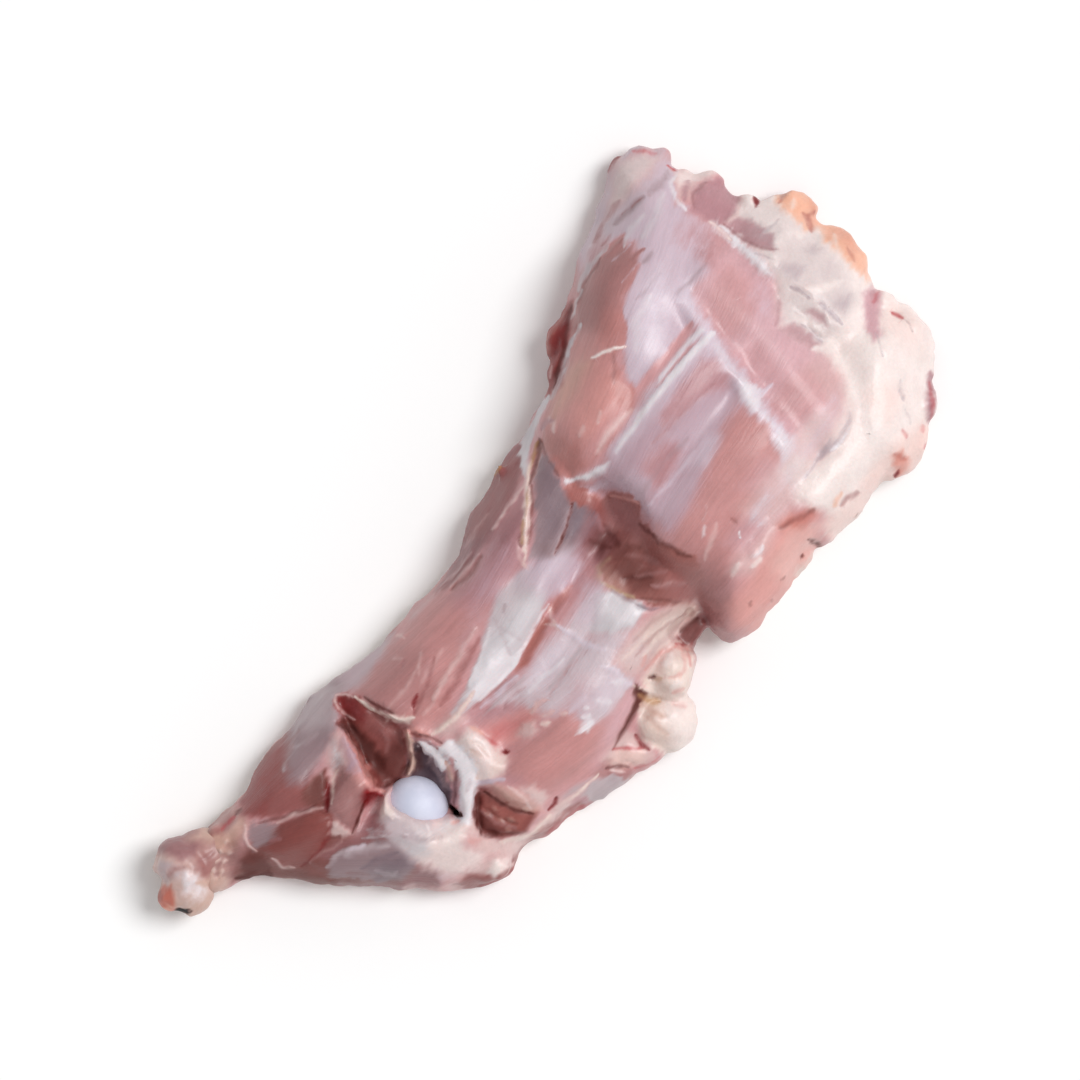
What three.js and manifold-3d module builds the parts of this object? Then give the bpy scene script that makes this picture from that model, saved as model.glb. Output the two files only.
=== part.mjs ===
// Raw lamb shoulder on the bone, lying flat with its outer side up: the shank knuckle points to -X and
// the blade to +X. Millimetres, +Z up, the origin under the middle of the joint on the surface it lies on.
// The meat is one solid of two broad bodies, the shank with the arm and the blade that overlaps it. The
// muscles and fat stand out of them as relief, and the opened elbow is cut into them. Two bone ends show.
import * as THREE from 'three';
import { mergeVertices } from 'three/addons/utils/BufferGeometryUtils.js';
import Module from 'manifold-3d';

// Driving dimensions
const BLADE_THICKNESS = 50;
const BLADE_END_THICKNESS = 21;
const BLADE_HALF_WIDTH = 86;
const BLADE_CROWN = 0.28;
const BLADE_THINS_OVER = [95, 205];
const ARM_THICKNESS = 35;
const ARM_THINS_OVER = [50, 110];
const SHANK_THICKNESS = 29;
const SHANK_THINS_OVER = [120, 182];
const NECK_THICKNESS = 22;
const ARM_MIDDLE = -14;
const ARM_HALF_WIDTH = 60;
const ARM_CROWN = 0.2;
const WIDEST_AT = 0.38;
const RIM_BAND = 2;
const UPPER_ROUNDING = 34;
const LOWER_ROUNDING = 24;
const FLATTENING = 6;
const HOLLOW_MOUTH = 55;
const HOLLOW_ROUNDING = 0.75;
const BONE_GAP = 0.3;
const BOARD = [700, 500, 80];

// Fineness of the surfaces
const BLADE_STEPS = [34, 37];
const ARM_STEPS = [57, 25];
const EDGE_STEPS = 60;
const ROUND_STEPS = [16, 10];
const HOLLOW_STEPS = [22, 16];
const CREASE_SHARPNESS = 5;

// Plan outlines in four edges, lower and upper running to +X, left and right to +Y: only the corners
// and bays that the rims show
const BLADE_EDGES = {
  lower: [
    [37, -79], [60, -82.5], [88, -81], [108, -84.5], [131, -84.5], [137, -90], [153, -88.5], [163, -82],
    [177, -71],
  ],
  right: [
    [177, -71], [190, -61], [193, -46], [190, -30], [195, -21], [199, -13], [199.5, -2], [195.5, 8],
    [202.5, 18.5], [197, 27], [187, 33.5], [182, 46], [184.5, 53.5], [174.5, 70], [178.5, 76], [170, 86.5],
  ],
  upper: [[50, 45], [72, 50.5], [92, 59], [112, 73.5], [132, 79], [147, 85], [157, 91.5], [170, 86.5]],
  left: [
    [37, -79], [35.5, -69], [38, -60], [33, -48], [23, -32], [26, -16], [38, 0], [36, 13], [42, 25], [50, 45],
  ],
};
const ARM_EDGES = {
  lower: [
    [-182, 18.5], [-168, 12.5], [-156, -4], [-143, -24], [-127, -47], [-112, -61], [-97, -69.5], [-84, -68],
    [-50, -77], [-28, -82], [-8, -81], [10, -74], [29, -65], [42, -66], [66, -58],
  ],
  right: [[66, -58], [76, 0], [62, 48.8]],
  upper: [
    [-175, 43], [-162, 40.5], [-146, 39.5], [-126, 42], [-108, 41], [-96, 43], [-80, 39.5], [-60, 34.5],
    [-36, 34.5], [-10, 33.5], [6, 40.5], [35, 45], [62, 48.8],
  ],
  left: [[-182, 18.5], [-184, 30], [-175, 43]],
};

// Relief: the middle line of each muscle, tendon or lump of fat, its half width, and its rise (or fall)
const BLADE_RELIEF = [
  // Bare muscle, lower rim, the two bellies before the spine, upper silverskin, belly beyond the spine
  { line: [[48, 26], [75, 31], [105, 50], [124, 60]], half: 22, rise: 12 },
  { line: [[42, -66], [72, -69], [102, -72]], half: 19, rise: 11 },
  { line: [[54, -36], [85, -32], [108, -32]], half: 27, rise: 12 },
  { line: [[60, -2], [90, 5], [118, 6]], half: 20, rise: 12 },
  { line: [[106, 34], [152, 60]], half: 26, rise: 11 },
  { line: [[148, 30], [145, -8], [136, -44]], half: 19, rise: 11 },
  // Scapular spine, fat cap, flaps at the far end
  { line: [[135, 35], [128, 10], [117, -30], [113, -48]], half: 7, rise: 10 },
  { line: [[174, 14], [173, -22]], half: 17, rise: 10 },
  { line: [[172, -50], [150, -72], [118, -74]], half: 20, rise: 11 },
  { line: [[160, 80], [174, 56]], half: 16, rise: 9 },
  { line: [[195, 19], [189, 30]], half: 10, rise: 6 },
  { line: [[194, -2], [193, -14]], half: 9, rise: 6 },
  // Cut face below the edge of the silverskin
  { line: [[30, -40], [35, -22], [46, -4]], half: 15, rise: -11 },
];
const ARM_RELIEF = [
  // Upper arm muscle, the strip beside it, tendon band, strip below it, lower arm muscle in two bellies
  { line: [[-86, 20], [-45, 18], [8, 22], [70, 28]], half: 19, rise: 15 },
  { line: [[-76, 1], [-40, 3], [-10, 8]], half: 9, rise: 11 },
  { line: [[-64, -10], [-20, -4], [34, 6], [70, 12]], half: 12, rise: 11 },
  { line: [[-54, -22], [-10, -20], [60, -24]], half: 12, rise: 11 },
  { line: [[-72, -50], [-45, -51], [-18, -47]], half: 23, rise: 16 },
  { line: [[-34, -38], [-5, -42], [60, -44]], half: 22, rise: 15 },
  { line: [[-4, 36], [28, 38], [64, 42]], half: 9, rise: 5 },
  // Shank: upper and lower muscle, the wedge between them, film-covered flank and the band beside it
  { line: [[-154, 31], [-125, 28], [-92, 31]], half: 15, rise: 14 },
  { line: [[-164, 16], [-145, 11], [-126, 5]], half: 13, rise: 13 },
  { line: [[-125, -1], [-115, 4], [-107, 4]], half: 10, rise: 12 },
  { line: [[-146, -8], [-128, -23], [-104, -47]], half: 18, rise: 12 },
  { line: [[-116, -18], [-109, -34], [-97, -46]], half: 10, rise: 13 },
  // Lips and ligaments of the elbow, cream fat beside it, rim below it, fat of the neck
  { line: [[-108, 1], [-101, 17], [-95, 30]], half: 8, rise: 13 },
  { line: [[-77, -4], [-76, -26], [-86, -38]], half: 8, rise: 11 },
  { line: [[-65, -20], [-68, -33]], half: 10, rise: 14 },
  { line: [[-92, -64], [-68, -63], [-46, -71]], half: 11, rise: 11 },
  { line: [[-99, -61], [-96, -64]], half: 10, rise: 11 },
  { line: [[-112, -53], [-106, -58]], half: 9, rise: 10 },
  { line: [[-180, 24], [-172, 29], [-164, 34]], half: 11, rise: 6 },
];

// Lumps at the rims: the fat that hangs below the arm, and the dark end of a muscle under the blade
const { degToRad, lerp, smoothstep, clamp } = THREE.MathUtils;
const LUMPS = [
  { middle: [12, -66.5, 20], radii: [12.5, 11, 17], turn: degToRad(20) },
  { middle: [-5, -79.3, 13], radii: [13.8, 13, 15], turn: 0 },
  { middle: [-21, -79.5, 12], radii: [10, 7.5, 12], turn: degToRad(-20) },
  { middle: [-36, -76.5, 11], radii: [10, 6, 12], turn: degToRad(-12) },
  { middle: [88, 56, 14], radii: [19, 8, 15], turn: degToRad(26) },
];

// Hollows of the opened joint and the gaps between muscles: plan outline, floor height
const HOLLOWS = [
  {
    outline: [[-88, 35], [-82, 27], [-80, 9], [-85, -1], [-96, -5], [-105, 0], [-99, 14], [-94, 26]],
    floor: 14,
  },
  { outline: [[-94, -50], [-87, -40], [-79, -36], [-76, -48], [-72, -59], [-80, -63], [-88, -57]], floor: 13 },
  { outline: [[-93, -5], [-81, -2], [-80, -16], [-89, -29], [-96, -20]], floor: 16 },
  { outline: [[-95, -31], [-91, -30], [-90, -37], [-93, -39]], floor: 16 },
  { outline: [[24, -59], [31, -56], [36, -60], [33, -63], [25, -64]], floor: 12 },
];

// Bone ends: the ball of the elbow, and the lobes of the shank knuckle with the shaft behind them
const ELBOW = { middle: [-98.3, -19, 26], radii: [10.2, 12.6, 12.8], turn: degToRad(26) };
const KNUCKLE = [
  { middle: [-184, 37.2, 15.5], radii: [13.5, 14.8, 15.5], turn: 0 },
  { middle: [-190, 30, 14], radii: [11.3, 11.3, 14], turn: 0 },
  { middle: [-193.5, 36, 13], radii: [8, 8.5, 12], turn: 0 },
  { middle: [-176, 35, 15], radii: [16, 12, 12], turn: degToRad(-22) },
];

const wasm = await Module();
wasm.setup();

// Turns a closed three.js geometry into a solid that can be joined and cut
function solid(geometry) {
  geometry.deleteAttribute('normal');
  geometry.deleteAttribute('uv');
  const merged = mergeVertices(geometry);
  const vertProperties = new Float32Array(merged.attributes.position.array);
  const triVerts = new Uint32Array(merged.index.array);
  return new wasm.Manifold(new wasm.Mesh({ numProp: 3, vertProperties, triVerts }));
}

function join(solids) {
  return solids.reduce((whole, next) => whole.add(next));
}

function planCurve(points, closed) {
  return new THREE.CatmullRomCurve3(points.map(([x, y]) => new THREE.Vector3(x, y, 0)), closed, 'centripetal');
}

// Distance in plan from a place to a line of straight stretches
function distanceTo(line, x, y) {
  const place = new THREE.Vector3(x, y, 0);
  const nearest = new THREE.Vector3();
  const distances = line.slice(1).map((end, i) => {
    const stretch = new THREE.Line3(new THREE.Vector3(...line[i], 0), new THREE.Vector3(...end, 0));
    return stretch.closestPointToPoint(place, true, nearest).distanceTo(place);
  });
  return Math.min(...distances);
}

// Height added by the relief: neighbouring muscles meet in a soft crease, and cuts go below them
function reliefAt(relief, x, y) {
  let risen = 0;
  let fall = 0;
  for (const { line, half, rise } of relief) {
    const share = distanceTo(line, x, y) / half;
    const height = rise * Math.max(1 - share * share, 0);
    risen += Math.max(height, 0) ** CREASE_SHARPNESS;
    fall = Math.min(fall, height);
  }
  return risen ** (1 / CREASE_SHARPNESS) + fall;
}

// The blade thins towards its far end, the arm towards the shank and the knuckle, and both towards the sides
function bladeThickness(x, y) {
  const crown = 1 - BLADE_CROWN * (y / BLADE_HALF_WIDTH) ** 2;
  return lerp(BLADE_THICKNESS, BLADE_END_THICKNESS, smoothstep(x, ...BLADE_THINS_OVER)) * crown;
}

function armThickness(x, y) {
  const crown = 1 - ARM_CROWN * ((y - ARM_MIDDLE) / ARM_HALF_WIDTH) ** 2;
  const towardsShank = lerp(ARM_THICKNESS, SHANK_THICKNESS, smoothstep(-x, ...ARM_THINS_OVER));
  return lerp(towardsShank * crown, NECK_THICKNESS, smoothstep(-x, ...SHANK_THINS_OVER));
}

// Slab on a patch between four edges: its rim is rounded above and below the height where it is widest
function slab(edges, thickness, relief, steps) {
  const sides = ['lower', 'right', 'upper', 'left'];
  const [lower, right, upper, left] = sides.map((side) => planCurve(edges[side], false));
  const outline = [lower, right, upper, left].map((edge) => edge.getSpacedPoints(EDGE_STEPS))
    .map((points) => points.map(({ x, y }) => [x, y]));
  const between = (start, end, share) => start.clone().lerp(end, share);
  const geometry = new THREE.BoxGeometry(1, 1, 1, ...steps, 1);
  const { position } = geometry.attributes;
  for (let i = 0; i < position.count; i += 1) {
    const u = clamp(position.getX(i) + 0.5, 0, 1);
    const v = clamp(position.getY(i) + 0.5, 0, 1);
    const upperFace = position.getZ(i) > 0;
    const alongX = between(lower.getPointAt(u), upper.getPointAt(u), v);
    const alongY = between(left.getPointAt(v), right.getPointAt(v), u);
    const lowCorners = between(lower.getPointAt(0), lower.getPointAt(1), u);
    const highCorners = between(upper.getPointAt(0), upper.getPointAt(1), u);
    const { x, y } = alongX.add(alongY).sub(between(lowCorners, highCorners, v));
    const inset = Math.min(...outline.map((edge) => distanceTo(edge, x, y)));
    const steep = 1 - Math.min(inset / (upperFace ? UPPER_ROUNDING : LOWER_ROUNDING), 1);
    const lift = Math.sqrt(1 - steep * steep);
    const side = WIDEST_AT * thickness(x, y) + (upperFace ? RIM_BAND : -RIM_BAND) / 2;
    const full = upperFace ? thickness(x, y) + reliefAt(relief, x, y) : -FLATTENING;
    position.setXYZ(i, x, y, lerp(side, full, lift));
  }
  return solid(geometry);
}

function ellipsoid({ middle, radii, turn }, grow = 0) {
  const geometry = new THREE.SphereGeometry(1, ...ROUND_STEPS);
  geometry.rotateX(Math.PI / 2);
  geometry.scale(...radii.map((radius) => radius + grow));
  geometry.rotateZ(turn);
  geometry.translate(...middle);
  return solid(geometry);
}

// Plug that cuts a hollow: widest at the mouth, above the meat, and rounded down to the floor
function hollow({ outline, floor }) {
  const [sides] = HOLLOW_STEPS;
  const edge = planCurve(outline, true).getSpacedPoints(sides);
  if (THREE.ShapeUtils.isClockWise(edge)) edge.reverse();
  const middle = edge.slice(1).reduce((sum, point) => sum.add(point), new THREE.Vector3()).divideScalar(sides);
  const geometry = new THREE.SphereGeometry(1, ...HOLLOW_STEPS);
  const { position, uv } = geometry.attributes;
  for (let i = 0; i < position.count; i += 1) {
    const end = edge[(Math.round(uv.getX(i) * sides) + sides) % sides];
    const latitude = (uv.getY(i) - 0.5) * Math.PI;
    const reach = Math.max(Math.cos(latitude), 0) ** HOLLOW_ROUNDING;
    const { x, y } = middle.clone().lerp(end, reach);
    position.setXYZ(i, x, y, HOLLOW_MOUTH + (HOLLOW_MOUTH - floor) * Math.sin(latitude));
  }
  return solid(geometry);
}

function knuckle(grow) {
  return join(KNUCKLE.map((lobe) => ellipsoid(lobe, grow)));
}

// The meat, with a socket for each bone end and a flat underside where it lies on the board
const board = solid(new THREE.BoxGeometry(...BOARD).translate(0, 0, -BOARD[2] / 2));
const blade = slab(BLADE_EDGES, bladeThickness, BLADE_RELIEF, BLADE_STEPS);
const armAndShank = slab(ARM_EDGES, armThickness, ARM_RELIEF, ARM_STEPS);
const meat = join([blade, armAndShank, ...LUMPS.map((lump) => ellipsoid(lump))])
  .subtract(join(HOLLOWS.map(hollow)))
  .subtract(ellipsoid(ELBOW, BONE_GAP))
  .subtract(knuckle(BONE_GAP))
  .subtract(board);

function node(name, body, color, roughness) {
  const { vertProperties, triVerts } = body.getMesh();
  const geometry = new THREE.BufferGeometry();
  geometry.setAttribute('position', new THREE.BufferAttribute(vertProperties, 3));
  geometry.setIndex(new THREE.BufferAttribute(triVerts, 1));
  geometry.computeVertexNormals();
  const mesh = new THREE.Mesh(geometry, new THREE.MeshStandardMaterial({ color, roughness, metalness: 0 }));
  mesh.name = name;
  return mesh;
}

const shoulder = new THREE.Group();
shoulder.name = 'lamb_shoulder';
shoulder.add(node('meat', meat, 0xc4918d, 0.45));
shoulder.add(node('elbow_head', ellipsoid(ELBOW), 0xcdd2e4, 0.3));
shoulder.add(node('shank_knuckle', knuckle(0), 0xd3b8ad, 0.5));

// Origin under the middle of the box round the whole shoulder
const box = new THREE.Box3().setFromObject(shoulder);
const middle = box.getCenter(new THREE.Vector3());
shoulder.position.set(-middle.x, -middle.y, -box.min.z);

export default shoulder;
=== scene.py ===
import math

import bmesh
import bpy
import numpy as np
from mathutils import Matrix, Vector, noise


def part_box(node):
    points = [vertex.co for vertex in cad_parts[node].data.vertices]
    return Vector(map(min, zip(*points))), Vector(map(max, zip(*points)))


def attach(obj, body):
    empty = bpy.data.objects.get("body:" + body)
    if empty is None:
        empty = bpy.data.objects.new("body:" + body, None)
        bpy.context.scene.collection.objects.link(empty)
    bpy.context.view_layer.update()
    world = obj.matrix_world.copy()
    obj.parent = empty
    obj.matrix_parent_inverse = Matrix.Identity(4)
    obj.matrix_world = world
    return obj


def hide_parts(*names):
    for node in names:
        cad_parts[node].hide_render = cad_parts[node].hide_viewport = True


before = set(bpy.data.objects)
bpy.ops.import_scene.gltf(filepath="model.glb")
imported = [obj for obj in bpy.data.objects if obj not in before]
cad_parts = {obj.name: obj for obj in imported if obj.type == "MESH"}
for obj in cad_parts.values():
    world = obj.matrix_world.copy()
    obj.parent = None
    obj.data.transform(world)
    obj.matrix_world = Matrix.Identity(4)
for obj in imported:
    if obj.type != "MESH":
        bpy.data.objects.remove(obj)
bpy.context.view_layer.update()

# Meat
# Muscle, fat and film of the shoulder hold together as one moist body, cut free round the elbow. It is made
# as a fine even skin over the solid, with folds of fat set into it, then carved and painted mark by mark.
MM = 0.001
VOXEL = 0.78 * MM
SMOOTHING_ROUNDS = 30
ROUNDS_AFTER_CARVING = 5
FOLDS_OF_FAT = [
    # Middle, radii and turn of each fold: below the arm, round the neck of the knuckle, along the rims
    ((5, -64, 22), (7, 6, 9), 30),
    ((15, -61, 24), (9, 5, 10), 12),
    ((17, -68, 18), (6, 5, 9), 50),
    ((12, -71, 16), (6, 5, 8), 20),
    ((-9, -74, 19), (9, 10, 11), 75),
    ((0, -81, 16), (8, 10, 10), 25),
    ((-9, -85, 12), (8, 6, 9), -20),
    ((-25, -74, 17), (7, 5, 9), -50),
    ((-34, -77, 14), (6, 4, 8), -35),
    ((-46, -75, 13), (6, 4, 8), -20),
    ((-22, -82, 10), (6, 4, 8), -10),
    ((-175, 25, 15), (7, 5, 9), -20),
    ((-170, 33, 17), (8, 7, 8), 10),
    ((-178, 28, 18), (5, 4, 7), 0),
    ((-166, 26, 18), (5, 4, 6), 20),
    ((-164, 37, 18), (4, 4, 6), 0),
    ((-167, 31, 21), (4, 4, 5), 30),
    ((-173, 28, 21), (4, 3, 5), -20),
    ((-180, 25, 15), (6, 5, 9), 10),
    ((-163, 31, 21), (4, 5, 5), 0),
    ((-98, -63, 19), (6, 5, 9), 0),
    ((-104, -60, 17), (6, 4, 8), -35),
    ((158, 89, 9), (6, 3, 6), 0),
    ((170, 83, 11), (4, 5, 7), 20),
    ((175, 76, 10), (4, 4, 6), 0),
    ((182, 54, 11), (4, 6, 6), 0),
    ((185, 36, 11), (3, 4, 6), 0),
    ((195, 19, 10), (7, 7, 6), 20),
    ((195, -2, 9), (4, 6, 6), 0),
    ((194, -13, 9), (5, 6, 6), 0),
    ((188, -34, 10), (5, 7, 8), 0),
    ((186, -50, 11), (6, 9, 9), 10),
    ((178, -65, 11), (9, 6, 9), 38),
    ((166, -76, 12), (8, 5, 9), 30),
    ((150, -84, 13), (8, 5, 9), 0),
    ((138, -84, 13), (8, 5, 9), 0),
    ((110, -80, 16), (9, 4, 9), 0),
    ((97, -79, 17), (6, 4, 9), 0),
    ((83, -79, 18), (6, 4, 9), 0),
    ((29.5, 43.5, 21), (3.6, 2, 1.4), 35),
    ((87, 63, 16), (10, 4, 9), 15),
]
RIM_OF_FAT = [
    (-12, -87), (-27, -81), (-40, -77), (-55, -72), (-72, -67), (-90, -65), (-112, -56), (-121, -49),
    (100, -79), (120, -80), (129, -80), (144, -86), (156, -83), (165, -76), (172, -72), (182, -63),
    (188, -56), (190, -44), (187, -29), (193, -18), (196, -7), (194, 5), (198, 14), (197, 24), (188, 30),
    (182, 39), (179, 47), (181, 55), (175, 63), (171, 70), (174, 77), (167, 86), (161, 88), (151, 85),
    (140, 80), (128, 76),
]
for i, (x, y) in enumerate(RIM_OF_FAT):
    size = 3.2 + math.sin(2.3 * i)
    height = 9 + 3 * math.sin(1.7 * i)
    FOLDS_OF_FAT.append(((x, y, height), (size, 0.9 * size, 1.7 * size), 40 * i))


def add_object(name, data):
    """Links a new object into the scene."""
    made = bpy.data.objects.new(name, data)
    bpy.context.scene.collection.objects.link(made)
    return made


def piece_from(shape, name):
    """Turns a finished shape into a piece."""
    mesh = bpy.data.meshes.new(name)
    shape.to_mesh(mesh)
    shape.free()
    mesh.shade_smooth()
    return add_object(name, mesh)


def set_lump(shape, middle, radii, turn, subdivisions):
    """Sets an egg-shaped lump into a shape: middle and radii in millimetres, turn in degrees."""
    place = Matrix.Translation(Vector(middle) * MM)
    place @= Matrix.Rotation(math.radians(turn), 4, "Z")
    place @= Matrix.Diagonal((*(Vector(radii) * MM), 1))
    bmesh.ops.create_icosphere(shape, subdivisions=subdivisions, radius=1, matrix=place)


def apply_modifiers(piece):
    """Makes what the modifiers of a piece do part of its mesh."""
    before = piece.data
    made = piece.evaluated_get(bpy.context.evaluated_depsgraph_get())
    piece.data = bpy.data.meshes.new_from_object(made)
    piece.modifiers.clear()
    bpy.data.meshes.remove(before)
    piece.data.name = piece.name
    piece.data.shade_smooth()


def even_out(piece, voxel, rounds):
    """Rebuilds a piece as one fine even skin."""
    remesh = piece.modifiers.new("even_skin", "REMESH")
    remesh.mode = "VOXEL"
    remesh.voxel_size = voxel
    smooth = piece.modifiers.new("smooth", "SMOOTH")
    smooth.iterations = rounds
    smooth.factor = 0.5
    apply_modifiers(piece)


def skin_over(node, name, lumps, voxel, rounds):
    """Copy of a node with lumps set into it, as one fine even skin."""
    shape = bmesh.new()
    shape.from_mesh(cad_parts[node].data)
    bmesh.ops.remove_doubles(shape, verts=shape.verts, dist=0.01 * MM)
    for middle, radii, turn in lumps:
        set_lump(shape, middle, radii, turn, subdivisions=3)
    piece = piece_from(shape, name)
    even_out(piece, voxel, rounds)
    return piece


# Finishes: colour as seen, how far it shows fibres, how wet it is
# Colour as seen holds some light: umber and pit are laid mostly as painted shade in creases, gaps and
# hollows, and snow, ivory and blush serve in places as painted highlights
FLESH = {
    "salmon": ((196, 139, 137), 1.0, 0.5),
    "rose": ((205, 153, 155), 0.9, 0.5),
    "blossom": ((211, 168, 174), 0.8, 0.5),
    "shrimp": ((219, 156, 150), 0.6, 0.5),
    "terracotta": ((172, 104, 96), 0.7, 0.5),
    "clay": ((160, 114, 113), 1.0, 0.45),
    "heather": ((178, 132, 138), 0.9, 0.5),
    "plum": ((148, 103, 106), 0.9, 0.5),
    "rust": ((150, 92, 90), 0.9, 0.6),
    "brick": ((138, 77, 73), 0.8, 0.4),
    "russet": ((126, 76, 71), 0.7, 0.3),
    "umber": ((92, 50, 47), 0.4, 0.12),
    "pit": ((40, 18, 16), 0.1, 0.1),
    "wine": ((118, 34, 36), 0.2, 0.4),
    "blood": ((178, 62, 66), 0.2, 0.7),
    "blush": ((220, 189, 186), 0.3, 0.5),
    "cream": ((235, 214, 205), 0.1, 0.4),
    "ivory": ((241, 226, 222), 0.1, 0.45),
    "chalk": ((214, 198, 197), 0.1, 0.4),
    "peach": ((240, 204, 196), 0.1, 0.4),
    "apricot": ((240, 182, 156), 0.1, 0.4),
    "tan": ((206, 171, 158), 0.3, 0.35),
    "gold": ((178, 130, 86), 0.3, 0.4),
    "straw": ((208, 194, 152), 0.3, 0.4),
    "shade": ((94, 76, 84), 0.2, 0.2),
    "garnet": ((144, 58, 56), 0.8, 0.4),
    "ember": ((204, 106, 88), 0.3, 0.4),
    "slice": ((158, 100, 94), 0.8, 0.5),
}
FILM = {
    "thistle": ((184, 150, 160), 0.8, 0.55),
    "lilac": ((202, 180, 191), 0.8, 0.6),
    "gauze": ((206, 188, 194), 0.25, 0.55),
    "pearl": ((216, 201, 212), 0.6, 0.65),
    "snow": ((230, 222, 226), 0.4, 0.65),
    "silver": ((208, 200, 204), 0.5, 0.65),
    "ash": ((188, 170, 174), 0.6, 0.55),
    "slate": ((152, 127, 131), 0.7, 0.6),
    "dusk": ((122, 104, 113), 0.6, 0.55),
}


class Skin:
    """The points of a piece in millimetres, carved and painted by marks that are given in plan."""

    def __init__(self, piece, base):
        self.piece = piece
        count = len(piece.data.vertices)
        self.points = np.empty(count * 3)
        piece.data.vertices.foreach_get("co", self.points)
        self.points = self.points.reshape(-1, 3) / MM
        self.normals = np.empty(count * 3)
        piece.data.vertices.foreach_get("normal", self.normals)
        self.normals = self.normals.reshape(-1, 3)
        colour, fibre, wet = FLESH[base]
        self.flesh = np.tile(np.array(colour, float), (count, 1))
        self.film = np.tile(np.array(FILM["lilac"][0], float), (count, 1))
        self.cover = np.zeros(count)
        self.fibre = np.full(count, fibre)
        self.wet = np.full(count, wet)
        self.lift = np.zeros(count)
        self.swell = np.zeros(count)
        # Marks lie on what faces up, and fade out where the sides turn under
        self.upper = np.clip((self.normals[:, 2] + 0.3) * 2.5, 0, 1)
        self.plan = self.points[:, :2].copy()
        self.frayed = self.plan.copy()
        self.uneven = np.zeros(count)

    def ripple(self, scale, seed):
        """Smooth noise from about -1 to 1, its waves as long as scale says along each axis."""
        places = self.points / np.array(scale, float) + seed
        return np.array([noise.noise(place) for place in places])

    def fray(self, along, across):
        """Lets the edges of patches waver in fingers along the fibres, and strokes bend and break up."""
        fingers = self.ripple((10, 2.4, 5), 3.1) + 0.5 * self.ripple((5, 1.2, 5), 8.7)
        waver = self.ripple((7, 5, 5), 15.3)
        self.frayed = self.plan + np.column_stack([along * fingers, across * waver])
        bends = [0.7 * self.ripple((5, 5, 5), seed) for seed in (21.9, 27.4)]
        self.plan += np.column_stack(bends)
        self.uneven = self.ripple((4, 2.5, 3), 33.6) + 0.6 * self.ripple((1.8, 1.4, 2), 38.2)

    def push(self, reach, place, by):
        """Draws the rim in or out round a place in plan."""
        away = np.linalg.norm(self.points[:, :2] - place, axis=1)
        share = np.clip(1 - (away / reach) ** 2, 0, 1) ** 2
        self.points[:, :2] += share[:, None] * by
        self.plan = self.points[:, :2].copy()

    def near(self, plan, points, reach):
        """Which skin points lie within reach of the box round some plan points."""
        low = np.min(points, axis=0) - reach
        high = np.max(points, axis=0) + reach
        inside = np.all((plan > low) & (plan < high), axis=1)
        return np.nonzero(inside & (self.upper > 0))[0]

    def distance(self, places, points):
        """Distance of places to a line of straight stretches, and how far along it they are."""
        ends = np.array(points, float)
        lengths = np.linalg.norm(np.diff(ends, axis=0), axis=1)
        starts = np.concatenate([[0], np.cumsum(lengths)])
        nearest = np.full(len(places), np.inf)
        along = np.zeros(len(places))
        for i, length in enumerate(lengths):
            step = (ends[i + 1] - ends[i]) / length
            offset = places - ends[i]
            share = np.clip(offset @ step, 0, length)
            away = np.linalg.norm(offset - share[:, None] * step, axis=1)
            closer = away < nearest
            nearest = np.where(closer, away, nearest)
            along = np.where(closer, (starts[i] + share) / starts[-1], along)
        return nearest, along

    def stroke(self, finish, opacity, half, points, lift=0):
        """Paints and carves a soft line that tapers towards its ends."""
        where = self.near(self.plan, points, half * 1.5)
        away, along = self.distance(self.plan[where], points)
        width = half * (0.5 + 0.5 * np.sqrt(np.clip(4 * along * (1 - along), 0, 1)))
        self.lift[where] += lift * self.soften(1 - away / width) * self.upper[where]
        width *= 1 + 0.25 * self.uneven[where]
        opacity = opacity * (0.95 + 0.35 * self.uneven[where])
        self.paint(where, finish, opacity * self.soften(1 - away / width))

    def soften(self, share):
        """Eases a share in and out between 0 and 1."""
        share = np.clip(share, 0, 1)
        return share * share * (3 - 2 * share)

    def within(self, plan, soft, points):
        """Which points lie in or near an outline, how far in they are, and their share with a soft edge."""
        where = self.near(plan, points, soft)
        places = plan[where]
        closed = [*points, points[0]]
        away, _ = self.distance(places, closed)
        inside = np.zeros(len(where), bool)
        x, y = places.T
        for (x0, y0), (x1, y1) in zip(points, closed[1:]):
            if y0 != y1:
                crosses = (y0 > y) != (y1 > y)
                inside ^= crosses & (x < (x1 - x0) * (y - y0) / (y1 - y0) + x0)
        depth = np.where(inside, away, -away)
        return where, depth, self.soften(0.5 + depth / soft / 2)

    def patch(self, finish, opacity, soft, points, lift=0, dome=0):
        """Paints all inside an outline, softly at its edge, and lifts it like a cushion with a round edge."""
        where, _, share = self.within(self.frayed, soft, points)
        self.paint(where, finish, opacity * share)
        if lift:
            where, depth, share = self.within(self.plan, soft, points)
            if dome:
                share = np.sin(np.pi / 2 * np.clip(depth / dome, 0, 1))
            self.lift[where] += lift * share * self.upper[where]

    def level(self, height, soft, points):
        """Draws all inside an outline to one height."""
        where, _, share = self.within(self.plan, soft, points)
        rise = height - self.points[where, 2] - self.lift[where]
        self.lift[where] += rise * share * np.clip(4 * self.upper[where], 0, 1)

    def shape(self):
        """Moves the points of the piece by what was carved."""
        self.points[:, 2] += self.lift
        self.piece.data.vertices.foreach_set("co", (self.points * MM).astype(np.float32).ravel())
        self.piece.data.update()

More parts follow.
